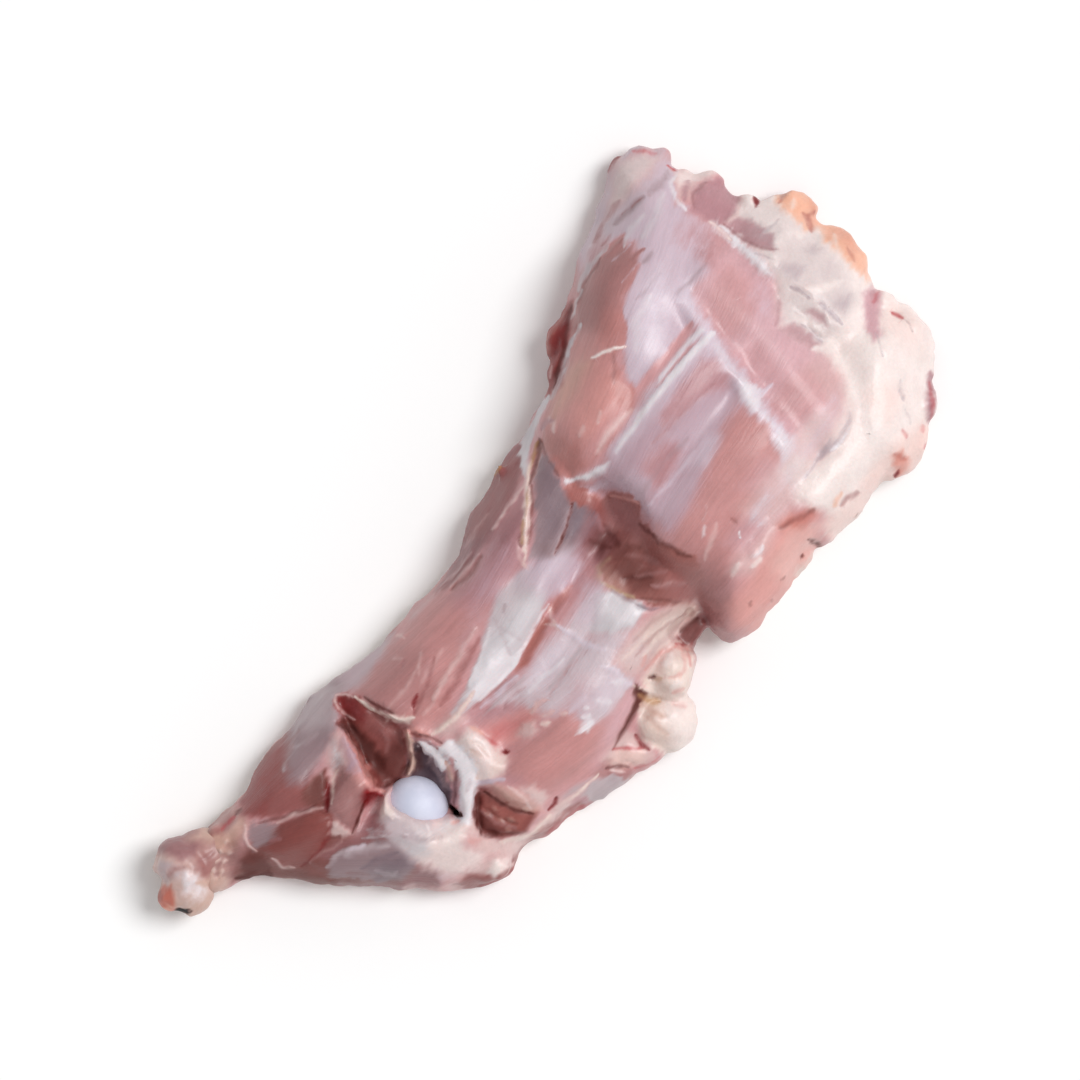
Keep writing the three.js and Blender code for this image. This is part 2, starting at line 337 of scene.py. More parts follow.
    def paint(self, where, finish, share):
        """Lays a finish over some points: flesh hides what is under it, film only veils it."""
        share = np.clip(share, 0, 1) * self.upper[where]
        filmy = finish in FILM
        colour, fibre, wet = FILM[finish] if filmy else FLESH[finish]
        if filmy:
            cover = self.cover[where]
            total = cover + (1 - cover) * share
            mixing = share / np.maximum(total, 1e-6)
            self.film[where] += (np.array(colour) - self.film[where]) * np.clip(mixing, 0, 1)[:, None]
            self.cover[where] = total
        else:
            self.flesh[where] += (np.array(colour) - self.flesh[where]) * share[:, None]
            self.cover[where] *= 1 - share
        self.fibre[where] += (fibre - self.fibre[where]) * share
        self.wet[where] += (wet - self.wet[where]) * share

    def edges(self):
        """The two ends of every edge of the skin."""
        ends = np.empty(len(self.piece.data.edges) * 2, int)
        self.piece.data.edges.foreach_get("vertices", ends)
        return ends.reshape(-1, 2).T

    def settle(self, rounds):
        """Evens out what was carved between neighbouring points."""
        start, end = self.edges()
        size = len(self.lift)
        count = np.bincount(start, minlength=size) + np.bincount(end, minlength=size)
        for _ in range(rounds):
            total = np.bincount(start, self.lift[end], size) + np.bincount(end, self.lift[start], size)
            self.lift += 0.5 * (total / count - self.lift)

    def keep(self, grain):
        """Moves the points by what was carved, and stores what was painted with them."""
        mesh = self.piece.data
        moved = self.points + self.normals * self.swell[:, None]
        moved[:, 2] = np.maximum(moved[:, 2] + self.lift, 0)
        mesh.vertices.foreach_set("co", (moved * MM).astype(np.float32).ravel())
        layers = [("flesh", self.flesh, np.ones(len(moved))), ("film", self.film, self.cover)]
        for name, colour, alpha in layers:
            # From the scale of a screen to light
            light = np.clip(colour, 0, 255) / 255
            light = np.where(light > 0.04045, ((light + 0.055) / 1.055) ** 2.4, light / 12.92)
            light = np.clip(light * LIT - SHEEN, 0.002, 1)
            layer = mesh.attributes.new(name, "FLOAT_COLOR", "POINT")
            layer.data.foreach_set("color", np.column_stack([light, alpha]).astype(np.float32).ravel())
        for name, values in (("fibre", self.fibre), ("wet", self.wet)):
            layer = mesh.attributes.new(name, "FLOAT", "POINT")
            layer.data.foreach_set("value", values.astype(np.float32))
        layer = mesh.attributes.new("grain", "FLOAT_VECTOR", "POINT")
        layer.data.foreach_set("vector", grain.astype(np.float32).ravel())
        mesh.update()

    def thin(self, triangles):
        """Thins the skin out to a number of triangles, most where its colours change least."""
        start, end = self.edges()
        seen = self.flesh + (self.film - self.flesh) * self.cover[:, None]
        step = np.abs(seen[start] - seen[end]).max(axis=1)
        busy = np.zeros(len(seen))
        np.maximum.at(busy, start, step)
        np.maximum.at(busy, end, step)
        plain = np.clip(1 - busy / STEP_KEPT, 0.02, 1)
        group = self.piece.vertex_groups.new(name="plain")
        for level in range(WEIGHT_LEVELS):
            some = np.nonzero((plain * (WEIGHT_LEVELS - 0.01)).astype(int) == level)[0]
            group.add(some.tolist(), (level + 0.5) / WEIGHT_LEVELS, "REPLACE")
        thinner = self.piece.modifiers.new("thinner", "DECIMATE")
        thinner.ratio = triangles / (2 * len(self.piece.data.polygons))
        thinner.vertex_group = group.name
        eased = self.piece.modifiers.new("eased", "SMOOTH")
        eased.factor = 0.3
        apply_modifiers(self.piece)
        self.piece.vertex_groups.clear()


# The wet surface adds its own light, so what lies under it is a little darker than it looks
LIT = 0.96
SHEEN = 0.02
# Where neighbours differ by this step of colour or more, the skin is thinned out least
STEP_KEPT = 14
WEIGHT_LEVELS = 10
meat = skin_over("meat", "meat_skin", FOLDS_OF_FAT, VOXEL, SMOOTHING_ROUNDS)
carved = Skin(meat, "rose")
# Small tips and hollows of the rim: where each is, and how far it is drawn
RIM_REACH = 11
RIM = [
    ((-144, 39), (0, -1.6)), ((-30, 34), (0, -0.8)), ((18, 43), (0, -1.6)), ((47, 46), (0, -2)),
    ((80, 61), (1.5, -2.8)), ((92, 66), (0, -2)), ((112, 73), (0.6, -1.6)), ((153, 89), (0.5, -1.4)),
    ((182, 57), (-2, -0.5)), ((185, 39), (-2.2, 0)), ((176, 64), (-1.5, 0)), ((198, 25), (-1.2, -0.6)),
    ((191, -31), (-1.6, 0)), ((200, -1), (1.2, 0)), ((180, -69), (-1.2, 1.6)), ((156, -85), (0, 2)),
    ((133, -86), (0, 1.6)), ((86, -81), (0, 2.2)), ((46, -81), (0, -1.8)), ((36, -74), (-1, 0)),
    ((27, -67), (0, -1.4)), ((4, -87), (-2.4, 1.8)), ((17, -74), (-1, 1.2)), ((-74, -70), (0, -1.6)),
    ((-87, -66), (0, 2)), ((-107, -65), (-0.5, -0.8)), ((-127, -44), (1.4, 1.4)), ((-136, -31), (1, 1)),
    ((-152, -12), (-0.8, -0.5)),
]
for place, by in RIM:
    carved.push(RIM_REACH, place, by)
WAVER_ALONG = 1.6
WAVER_ACROSS = 0.7
carved.fray(WAVER_ALONG, WAVER_ACROSS)
# Opened elbow: floors of the pockets and of the joint, the collar of the ball and its lips. The hollow by the
# shank and the gap beside the hanging fat are levelled too: height, soft edge and outline of each floor.
POCKET_BY_SHANK = [
    (-89, 35), (-85, 34), (-82, 28), (-81, 15), (-80, 5), (-85, -1), (-93, -7), (-101, -6), (-105, -2),
    (-102, 4), (-98, 15), (-94, 23), (-95, 28), (-92, 26), (-90.5, 31),
]
POCKET_BY_ARM = [
    (-92, -48), (-87, -40), (-79, -36), (-76, -40), (-75, -50), (-70, -61), (-80, -63), (-87, -57),
]
JOINT = [(-94, -8), (-81, -2), (-79.5, -8), (-82, -18), (-87, -28), (-92, -31), (-98, -20)]
COLLAR = [
    (-101, -8), (-105, -10), (-106.5, -14), (-105, -19), (-102, -26), (-98, -32), (-92, -34), (-90, -27),
    (-88, -18), (-91, -8),
]
LIP = [
    (-101, -7.2), (-104.5, -9), (-106.6, -12.5), (-105.8, -17), (-103.8, -21.5), (-101.6, -26),
    (-100.4, -28.2), (-106, -33), (-110, -28), (-113, -18), (-112.5, -10), (-107, -6),
]
LIP_BELOW = [(-101, -27.5), (-99.3, -30), (-97, -33), (-94.5, -33.5), (-95, -38), (-101, -39), (-106, -33)]
JOINT_EDGE = [(-80.3, -2), (-77, -4), (-76.5, -14), (-79, -20), (-83, -19), (-81.6, -10)]
HOLLOW = [(-131, 16.5), (-127, 20), (-119, 21), (-113.5, 19.5), (-115.5, 15.5), (-121.5, 11), (-126.5, 8.5)]
JOINT_SIDE = [(-85, -3), (-79.5, -6), (-81.5, -18), (-86, -27), (-88, -24), (-84.5, -14)]
FLOORS = [
    (30, 3, POCKET_BY_SHANK),
    (34, 5, [(-85, 30), (-82, 28), (-80, 5), (-86, 0), (-89, 8), (-87, 22)]),
    (33, 3, POCKET_BY_ARM),
    (36, 4, [(-80, -38), (-76, -40), (-75, -50), (-71, -60), (-78, -58), (-81, -48)]),
    (29, 1.5, COLLAR),
    (36.4, 2, LIP_BELOW),
    (39.2, 2, LIP),
    (28, 3, JOINT),
    (34.5, 4, JOINT_SIDE),
    (39, 1.6, JOINT_EDGE),
    (34.3, 2.6, HOLLOW),
    (24, 2, [(22, -55), (35, -55), (37, -66), (22, -66)]),
]
for height, soft, outline in FLOORS:
    carved.level(height, soft, outline)
carved.shape()
even_out(meat, VOXEL, ROUNDS_AFTER_CARVING)
skin = Skin(meat, "rose")
skin.fray(WAVER_ALONG, WAVER_ACROSS)
patch = skin.patch
stroke = skin.stroke

# The fibres fan out from the knuckle to the blade between the two long edges of the shoulder
LOWER_EDGE = [
    (-185, 19), (-150, -10), (-120, -54), (-90, -68), (-20, -86), (40, -80), (140, -89), (205, -80),
]
UPPER_EDGE = [(-185, 50), (-150, 39), (-90, 42), (-20, 33), (40, 44), (80, 62), (150, 89), (205, 105)]
lower_edge = np.interp(skin.points[:, 0], *zip(*LOWER_EDGE))
upper_edge = np.interp(skin.points[:, 0], *zip(*UPPER_EDGE))
across = (skin.points[:, 1] - lower_edge) / (upper_edge - lower_edge)
MEAN_WIDTH = 125
meat_grain = np.column_stack([skin.points[:, 0], across * MEAN_WIDTH, skin.points[:, 2]])

# A patch gives finish, opacity, soft edge, outline, lift and the width of its round edge. A stroke gives
# finish, opacity, half width, line and lift. Each mark lies over those before it.
# Blade: bare muscle, silverskin, the spine of the blade, fat cap and flaps, the cut face towards the arm
patch("salmon", 0.9, 6, [
    (50, -30), (75, -26), (92, -20), (110, -16), (118, -26), (114, -38), (104, -44), (90, -47), (72, -52),
    (56, -58), (46, -54),
])
# Painted shade: clay darkens the lower left of the blade, towards the step down to the arm
patch("clay", 0.3, 8, [(44, -16), (58, -26), (62, -40), (58, -56), (40, -60)])
patch("shrimp", 1.0, 5, [
    (46, -64), (60, -66), (78, -62), (92, -62), (98, -70), (92, -78), (84, -86), (60, -88), (46, -84),
    (42, -74),
])
# More painted shade at the lower left of the blade
patch("clay", 0.5, 8, [(30, -54), (46, -48), (56, -54), (50, -66), (42, -74), (40, -84), (28, -82)])
patch("peach", 0.4, 4, [(72, -68), (90, -66), (96, -72), (90, -80), (80, -86), (70, -80)])
patch("blush", 0.6, 4, [(57, -58), (66, -55), (80, -56), (86, -59), (78, -64), (64, -65)], 0.8, 4)
patch("blossom", 1.0, 5, [
    (128, 28), (150, 31), (164, 30), (164, 8), (153, -6), (154, -28), (148, -42), (130, -52), (110, -54),
    (116, -34), (124, -12),
])
patch("salmon", 0.5, 5, [
    (133, 18), (140, 23), (150, 27), (159, 26), (158, 14), (150, 5), (140, 3), (133, 5),
])
patch("rose", 0.5, 5, [(128, 0), (141, -3), (141, -20), (128, -20)])
patch("salmon", 0.45, 4, [(122, -26), (133, -23), (149, -28), (151, -40), (140, -43), (124, -40)])
patch("blush", 0.6, 4, [(116, -42), (132, -42), (136, -48), (120, -51)])
patch("blush", 0.45, 4, [(144, -27), (152, -27), (150, -42), (142, -47), (140, -43)])
patch("blossom", 0.6, 4, [(66, -48), (82, -47), (86, -56), (70, -58)])
patch("blossom", 0.5, 4, [(88, -38), (104, -37), (106, -45), (90, -47)])
patch("lilac", 0.35, 6, [(150, 10), (164, 14), (160, 0), (152, -4), (144, -2)])
patch("ivory", 1.0, 4, [
    (152, -8), (155, -28), (150, -43), (140, -51), (120, -56), (106, -54), (100, -59), (101, -66),
    (103, -74), (97, -79), (95, -92), (130, -95), (165, -92), (198, -70), (206, -12), (206, 30), (188, 42),
    (172, 38), (168, 18), (163, 2),
], 0.6, 6)
patch("thistle", 0.85, 7, [
    (50, 10), (70, 12), (100, 12), (124, 13), (126, 0), (121, -12), (104, -16), (90, -19), (75, -26),
    (54, -30), (52, -10),
])
patch("lilac", 0.5, 8, [(56, 11), (90, 12), (126, 14), (126, 4), (100, 8), (80, 6), (60, 5)])
patch("lilac", 0.6, 4, [(55, 3), (66, 2), (67, -9), (57, -12)])
patch("plum", 0.35, 4, [(68, -2), (84, -3), (84, -9), (70, -10)])
patch("pearl", 0.6, 4, [(80, -14), (96, -13), (100, -18), (86, -22)])
patch("heather", 0.75, 4, [(88, 8), (98, 9), (120, 10), (124, -2), (117, -7), (100, 0), (88, 3)])
patch("heather", 0.6, 4, [(66, -2), (74, -1), (88, -4), (84, -10), (70, -13), (66, -11)])
patch("lilac", 0.6, 5, [(86, -3), (106, -3), (120, -9), (116, -15), (96, -15), (86, -10)])
patch("lilac", 0.55, 5, [(56, -14), (74, -15), (90, -17), (76, -23), (58, -24)])
patch("lilac", 0.95, 3, [
    (91, 22), (96, 32), (104, 37), (113, 47), (128, 53), (141, 55), (150, 50), (148, 38), (136, 31),
    (130, 22),
], 0.3)
patch("lilac", 0.9, 5, [
    (130, 55), (138, 62), (134, 68), (112, 69), (122, 82), (150, 92), (174, 90), (178, 70), (164, 58),
    (164, 40), (150, 30), (138, 31), (140, 50),
])
patch("heather", 0.5, 7, [(148, 50), (163, 52), (164, 32), (150, 33)])
patch("ash", 0.45, 6, [(122, 73), (138, 69), (160, 70), (174, 75), (174, 90), (156, 92), (138, 84)])
patch("chalk", 0.9, 5, [(140, 78), (150, 85), (160, 90), (172, 84), (174, 75), (160, 75), (148, 76)])
patch("clay", 0.5, 4, [(106, 68), (120, 74), (136, 78), (130, 70), (116, 68)])
patch("salmon", 1.1, 1.2, [
    (50, 38), (45, 28), (43, 22), (47, 18), (55, 15.5), (70, 15), (85, 17), (91, 22), (90, 28), (93, 33),
    (98, 38), (103, 37), (108, 40), (112, 45), (113, 48), (118, 51), (125, 52), (133, 54), (132, 58),
    (134, 62), (132, 66), (138, 67), (128, 69), (110, 67), (95, 60), (85, 55), (75, 50), (66, 47),
    (56, 42),
], 1.3, 12)
patch("shrimp", 0.6, 6, [(58, 22), (84, 21), (91, 27), (90, 38), (66, 38)])
patch("clay", 0.85, 5, [
    (102, 48), (112, 51), (122, 53), (134, 55), (136, 66), (124, 70), (108, 66), (94, 58),
])
patch("terracotta", 0.25, 4, [(97, 39), (107, 40), (113, 46), (110, 54), (100, 52)])
# Painted shade at the left end of the bare muscle: a dark line of shadow along its edge, carved a little too,
# and a darker tint over the end
stroke("umber", 0.5, 1.6, [(43, 23), (45, 30), (49.5, 38)], -1.2)
patch("terracotta", 0.4, 3, [(44, 25), (47, 19), (53, 18), (58, 26), (56, 36), (51, 38), (47, 31)])
patch("rose", 0.6, 4, [(56, 18), (80, 14), (90, 16), (80, 21), (60, 22)])
patch("straw", 0.35, 4, [(60, 40), (76, 42), (88, 44), (84, 48), (70, 46)])
patch("shrimp", 0.25, 5, [(58, 38), (84, 40), (96, 44), (90, 52), (70, 46)])
patch("heather", 1.0, 2.5, [(164, 52), (172, 57), (184, 52), (183, 41), (174, 36), (166, 40)], -0.6)
patch("blush", 0.6, 3, [(162, 58), (170, 66), (180, 66), (186, 54), (176, 58), (168, 56)])
patch("ivory", 0.75, 2.5, [(168, 62), (173, 68), (180, 65), (186, 54), (180, 55), (174, 60)], 0.4)
patch("apricot", 1.1, 2.5, [(189, 10), (194, 6), (202, 10), (206, 18), (202, 27), (193, 30), (189, 24)])
patch("apricot", 0.9, 2.5, [(190, -24), (196, -22), (203, -14), (203, 2), (196, 8), (191, 2)])
patch("apricot", 0.9, 2.5, [(191, -14), (198, -18), (203, -2), (195, 6)])
patch("terracotta", 0.25, 4, [(194, -12), (204, -12), (204, 0), (196, 0)])
patch("terracotta", 0.25, 3, [(193, 8), (200, 12), (206, 20), (198, 16)])
patch("peach", 0.6, 4, [(96, -72), (106, -75), (122, -78), (122, -90), (96, -90)])
patch("peach", 0.45, 5, [(150, -54), (160, -54), (162, -66), (148, -68)])
patch("peach", 0.7, 4, [(122, -76), (146, -76), (160, -80), (160, -95), (122, -95)])
patch("peach", 0.35, 5, [(176, -40), (190, -34), (192, -52), (180, -60)])
# Painted grey shade over the middle of the fat cap
patch("chalk", 0.8, 5, [
    (152, -6), (164, 4), (169, 12), (170, 34), (180, 36), (188, 28), (189, 6), (188, -12), (180, -24),
    (166, -28), (154, -26),
])
patch("ivory", 0.5, 4, [(180, 32), (188, 28), (188, 18), (180, 22)])
patch("heather", 0.8, 1.8, [(168.5, 36), (174, 36), (178, 28), (178, 18), (173.5, 15), (169, 24)], -0.8)
patch("ash", 0.4, 3, [(172, 28), (178, 26), (179, 17), (174, 15)])
patch("blush", 0.5, 5, [(112, -52), (130, -54), (146, -50), (142, -60), (122, -60)])
patch("slice", 1.1, 1.2, [
    (46, 3), (52, 2), (56, -4), (56, -12), (51, -14), (50, -30), (54, -43), (50, -50), (42, -55),
    (36, -53), (28, -43), (23, -33), (21, -22), (25, -15), (38, -13), (40, -6), (42, 0),
])
# Painted shade at the lower left of the blade, below the cut face
patch("clay", 0.7, 6, [(34, -44), (48, -42), (56, -46), (54, -58), (42, -60)])
patch("rust", 0.4, 5, [(32, -42), (42, -44), (45, -56), (41, -66), (36, -60)])
patch("russet", 1.0, 5, [(26, -17), (42, -16), (43, -26), (38, -38), (32, -40), (27, -32)])
patch("umber", 0.25, 5, [(26, -20), (38, -19), (40, -30), (36, -38), (28, -34)])
patch("tan", 0.35, 2.5, [(20, -17), (24, -14), (28, -16), (27, -24), (25, -33), (21, -27)], 0.4)
patch("rust", 0.3, 3, [(42, 1), (52, 2), (56, -5), (55, -12), (48, -14), (42, -10)])
patch("heather", 0.4, 5, [(44, 2), (52, 1), (56, -6), (54, -13), (51, -22), (43, -20), (41, -8)])
patch("rust", 0.45, 4, [(38, -26), (48, -24), (50, -42), (42, -46), (36, -40)])
patch("terracotta", 0.75, 1.6, [
    (36.5, 13), (40, 18), (44, 18), (47, 12), (47, 4), (44, 0), (39, 2),
], 1.0, 4)
patch("rust", 0.5, 2.5, [(38, 6), (44, 7), (47, 3), (44, -1), (39, 1)])
patch("brick", 0.3, 3, [(37, 13), (41, 17), (46, 12), (44, 6), (38, 6)])
patch("rust", 0.8, 2, [(66, 48), (74, 48), (90, 57), (104, 66), (92, 68), (82, 68), (72, 58)])
patch("garnet", 0.9, 2, [
    (66, 48), (73, 47), (82, 53), (91, 58), (98, 63), (103, 66), (94, 66), (86, 66), (76, 56),
])
# Spine of the blade: a broad soft band of film with knots
patch("pearl", 0.65, 4, [
    (140, 36), (134, 36), (128, 20), (124, 4), (120, -10), (126, -10), (129, 3), (134, 18),
], 0.1)
patch("pearl", 0.65, 4, [
    (126, -8), (119, -10), (115, -20), (114, -32), (109, -42), (102, -50), (100, -57), (113, -56),
    (118, -45), (121, -32), (124, -20),
], 0.1)
patch("snow", 0.75, 2.5, [(125, -11), (119, -12), (116, -18), (118, -22), (124, -20)], 0.2)
stroke("snow", 0.3, 3, [(127, 8), (124, -4), (121, -14), (118, -24), (116.5, -36)])
patch("snow", 0.6, 3, [(118, -36), (113, -36), (108, -45), (103, -54), (111, -55), (118, -43)])
# Painted highlights on the spine of the blade
stroke("pearl", 0.5, 2.6, [(121, -18), (126, -19.5), (130, -20.5)])
patch("ivory", 0.5, 4, [(104, -46), (114, -46), (114, -54), (104, -53)])
# White streaks and pink strips of the silverskin
patch("pearl", 0.5, 4, [(64, 14), (90, 19), (128, 19), (130, 9), (90, 9), (64, 9)])
stroke("rose", 0.8, 2.4, [(92, 20.5), (110, 21), (128, 21.5)], -0.2)
patch("snow", 1.0, 1.2, [
    (66, 11), (84, 11.6), (100, 12.3), (116, 12), (130, 11), (131, 13.4), (116, 14.6), (100, 14.8),
    (84, 13.8), (70, 12.6),
], 0.4)
stroke("rose", 0.5, 1.2, [(98, 15.4), (112, 15.6), (127, 15.2)], -0.1)
patch("snow", 0.7, 1.2, [(100, 16.2), (114, 16.2), (129, 15.8), (129, 18), (114, 18), (102, 17.8)], 0.2)
# A painted highlight along the pink strip
patch("ivory", 0.65, 2, [
    (61, 16.5), (70, 17.5), (79, 17.5), (84, 16.8), (84, 18), (78, 19.6), (70, 19.6), (64, 18.6),
], 0.2)
# White bits of film, with a painted highlight among them
patch("snow", 0.95, 1.8, [
    (44, 21), (47, 17), (52, 14.5), (57, 13), (60, 11), (57, 9.5), (53, 11), (49, 13), (46, 16), (43, 19),
], 0.3)
patch("pearl", 0.6, 2, [(46, 13), (50, 9), (55, 6), (52, 5), (47, 9)], 0.2)
stroke("plum", 0.3, 1.5, [(78, 1.5), (92, 0.5), (104, -0.5), (114, -2)], -0.2)
stroke("plum", 0.25, 1.4, [(58, -11), (72, -12), (82, -13)], -0.2)
stroke("pearl", 0.45, 1.6, [(58, -13.5), (74, -14.5), (88, -13.5)], 0.1)
stroke("slate", 0.3, 2, [(60, -8), (76, -7), (90, -8)], -0.1)
stroke("slate", 0.35, 1.3, [(120, 45.5), (128, 45), (136, 45)], -0.2)
stroke("slate", 0.35, 1.6, [(133, 34.5), (142, 33), (151, 33)], -0.2)
stroke("ash", 0.4, 1.6, [(110, 33), (120, 34), (130, 36)], -0.1)
patch("pearl", 0.7, 5, [(96, 26), (108, 35), (120, 44), (138, 48), (130, 34), (112, 24)])
stroke("snow", 0.4, 3.4, [(104, 32), (114, 40), (126, 42)], 0.1)
stroke("slate", 0.7, 2.4, [(139, 73), (148, 72), (156, 71)], -0.5)
stroke("clay", 0.9, 1.3, [(126, 67), (132, 66.6), (137, 66)], 0.4)
stroke("lilac", 0.5, 1.4, [(126, 63.5), (131, 63), (137, 62)], 0.1)
stroke("clay", 0.8, 1.2, [(128, 58), (134, 57.4), (139, 57)], 0.3)
stroke("lilac", 0.5, 1.5, [(122, 54.5), (129, 55.2), (136, 55)], 0.1)
stroke("umber", 0.5, 1.3, [(144, 73.2), (150, 72), (155, 71)], -0.3)
stroke("slate", 0.45, 3, [(158, 70), (166, 69), (171, 70)], -0.3)
stroke("plum", 0.45, 3, [(128, 75), (138, 77), (148, 78)], -0.3)
stroke("plum", 0.45, 1.5, [(129, 71), (135, 71.5)], -0.3)
stroke("silver", 0.5, 3, [(142, 60), (154, 62), (162, 66)], 0.2)
stroke("silver", 0.6, 2, [(134, 64), (142, 66), (150, 66)], 0.2)
stroke("slate", 0.5, 2, [(134, 53), (140, 53.5)], -0.2)
# Bare muscle: its films and painted glints, the white strand over it, the brown gap above it
stroke("ash", 0.65, 3, [(66, 46), (78, 50), (92, 56)], 0.2)
stroke("silver", 0.6, 2, [(84, 53), (92, 55), (98, 57)], 0.2)
stroke("silver", 0.6, 1.6, [(97, 61), (104, 64), (110, 66)], 0.3)
stroke("ash", 0.7, 2.6, [(108, 67), (118, 69.5), (130, 69)], 0.3)
stroke("umber", 0.35, 1.4, [(104, 63.5), (112, 66.5), (124, 68)], -0.3)
# Painted shade over the lit right edge of the muscle's dome, to damp its light
patch("terracotta", 0.3, 3, [(83, 17.5), (91, 22), (90, 28), (93, 33), (88, 33), (83, 24)])
# Painted glints on the bare muscle
stroke("blush", 0.55, 1.5, [(61, 27), (66, 28.5)], 0.3)
stroke("blush", 0.6, 1.5, [(70, 24.5), (75, 27)], 0.3)
stroke("clay", 0.5, 1.6, [(87, 30), (92, 34), (97, 39)], -0.3)
stroke("blush", 0.7, 2, [(56, 36), (59, 39), (59, 42)], 0.4)
stroke("heather", 0.9, 2, [(54, 41), (57, 42), (60, 40)], -0.4)
stroke("ivory", 1.2, 1.3, [(90, 44), (95, 41.8), (99, 40), (101, 38), (103, 36)], 1.0)
stroke("umber", 0.7, 1.7, [(70, 48.5), (78, 51.5), (86, 56), (94, 60.5), (102, 65.5)], -0.8)
stroke("umber", 0.5, 2.4, [(72, 49), (78, 52)], -0.4)
stroke("wine", 0.7, 4, [(82, 57), (90, 60), (98, 64)])
stroke("blush", 0.6, 1.2, [(73, 52.5), (77, 55)])
stroke("terracotta", 0.7, 2.2, [(80, 59), (84, 64), (92, 64.5), (98, 65)])
stroke("silver", 1.0, 3.2, [(38, 39), (46, 43), (56, 46), (66, 48)], 0.3)
# Cut face: grooves darkened with painted shade, and strands between them painted lighter where lit
stroke("umber", 0.55, 2, [(49.5, -16), (49.5, -27), (50.5, -36), (53, -41)], -0.6)
stroke("umber", 0.55, 2, [(28, -25), (32, -29), (36, -34)], -0.8)
stroke("umber", 0.3, 2.8, [(32, -17), (38, -17), (42, -22)], -0.5)
stroke("umber", 0.45, 1.4, [(38, -7), (39, -11), (38, -14)], -0.5)
stroke("umber", 0.35, 1.6, [(26, -36), (31, -43), (36, -50)], -0.4)
stroke("clay", 0.8, 2.2, [(33, -36), (38, -42), (43, -46)], 0.6)
stroke("clay", 0.6, 1.8, [(32, -28), (37, -33), (42, -37)], 0.6)
patch("clay", 0.4, 3, [(46, 2), (51, 0), (55, -6), (53, -11), (48, -6)], 0.4)
stroke("shrimp", 0.5, 1.2, [(51, 1), (54, -4), (55.6, -10)], 0.6)
stroke("clay", 0.5, 1.8, [(39, -9), (42, -6), (46, -4)], 0.4)
stroke("clay", 0.4, 2.6, [(36, -20), (40, -26), (42, -32)], 0.5)
stroke("straw", 0.5, 1.8, [(20.5, -19), (22, -26), (24.5, -34)], 0.2)
stroke("straw", 0.35, 2, [(21, -18), (25, -14.5), (31, -15)], 0.2)
# Lower rim: painted glints, lumps, pores and ragged slits
patch("snow", 0.6, 1.4, [(61, -39.5), (64, -37.6), (66.5, -36.6), (66, -38), (63, -40)], 0.2)
patch("snow", 0.5, 1.4, [(67, -35.5), (70, -33.4), (73.5, -31.4), (72.5, -33), (69, -35.6)], 0.2)
stroke("blush", 0.5, 1.8, [(56, -46), (64, -43), (71, -40)], 0.2)
stroke("russet", 0.45, 1.6, [(75.5, -43.5), (76.5, -46.5)], -0.5)
stroke("snow", 0.8, 1.4, [(72, -52), (74.5, -49)], 0.3)
patch("pearl", 0.75, 2, [(79, -51), (85, -47.5), (95, -47), (95, -50), (87, -53)], 0.3)
stroke("snow", 0.7, 1.8, [(82, -50), (87, -48.8), (93, -48.6)], 0.3)
stroke("snow", 0.6, 1.8, [(81, -54.5), (86, -55)], 0.3)
patch("pearl", 0.5, 4, [(84, -45), (104, -44), (110, -50), (108, -57), (92, -58), (80, -55)])
patch("lilac", 0.45, 5, [(112, -46), (130, -44), (146, -42), (142, -52), (126, -56), (112, -54)])
patch("ivory", 0.35, 6, [(98, -48), (112, -42), (140, -44), (142, -58), (120, -61), (100, -60)])
patch("blush", 0.3, 5, [(80, -42), (100, -42), (100, -58), (82, -58)])
patch("ivory", 0.3, 6, [(82, -47), (104, -45), (120, -47), (120, -58), (100, -62), (86, -60)])
# Painted glints on the pale patch below the muscle
stroke("snow", 0.5, 2.6, [(69, -60), (73, -62), (76, -61)], 0.3)
stroke("ivory", 0.6, 2.6, [(58, -59), (64, -58)], 0.4)
stroke("ivory", 0.6, 2.2, [(66, -63), (72, -64)], 0.4)
patch("ember", 0.5, 3, [(86, -61), (93, -62), (101, -67), (100, -70), (92, -67.5)])
stroke("russet", 0.45, 2.6, [(86, -62), (90, -63.3), (94, -65), (101, -68)], -0.6)
stroke("russet", 0.9, 1.7, [(90, -74), (91, -77), (92, -81)], -1.6)
stroke("russet", 0.8, 1.4, [(82.5, -77), (84, -76.5)], -0.6)
stroke("russet", 0.45, 1.3, [(53, -73), (55, -72.5)], -0.4)
stroke("russet", 0.35, 1.2, [(60, -79), (61.5, -78.5)], -0.3)
stroke("russet", 0.35, 1.1, [(70, -76), (72, -77)], -0.3)
stroke("cream", 0.7, 4, [(76, -80), (83, -82), (88, -80)], 0.3)
stroke("clay", 0.55, 2.2, [(110, -75), (114, -75.5), (119, -78)], -0.6)
stroke("apricot", 0.7, 2, [(108, -73), (114, -72)], 0.3)
# Fat cap: folds, hollows grey with painted shade, stains and slits
stroke("heather", 0.5, 1.8, [(150, -6), (155, -3), (160, -0.5)], -0.5)
patch("heather", 0.65, 1.8, [(150, -9), (155, -11), (157, -19), (155, -26), (152, -22), (151, -15)], -0.8)
patch("heather", 0.6, 1.5, [(162.5, -12), (165.5, -13), (166.5, -18), (164, -23), (162.5, -18)], -0.8)
stroke("ash", 0.6, 1.8, [(157.5, -14), (158, -20), (156.5, -26)], -0.5)
stroke("ash", 0.7, 1.7, [(166.5, 0), (167.5, -5), (168, -10)], -0.5)
stroke("ash", 0.7, 2, [(169, -14), (169, -21), (168, -27)], -0.5)
patch("ash", 0.65, 4.5, [(168, 10), (175, 7), (177, 0), (170, -1)], -0.5)
patch("ash", 0.65, 4, [(181, 7), (187, 4), (188, -1), (183, 0)], -0.5)
patch("ash", 0.6, 4.5, [(169, -15), (182, -20), (184, -24), (172, -26)], -0.5)
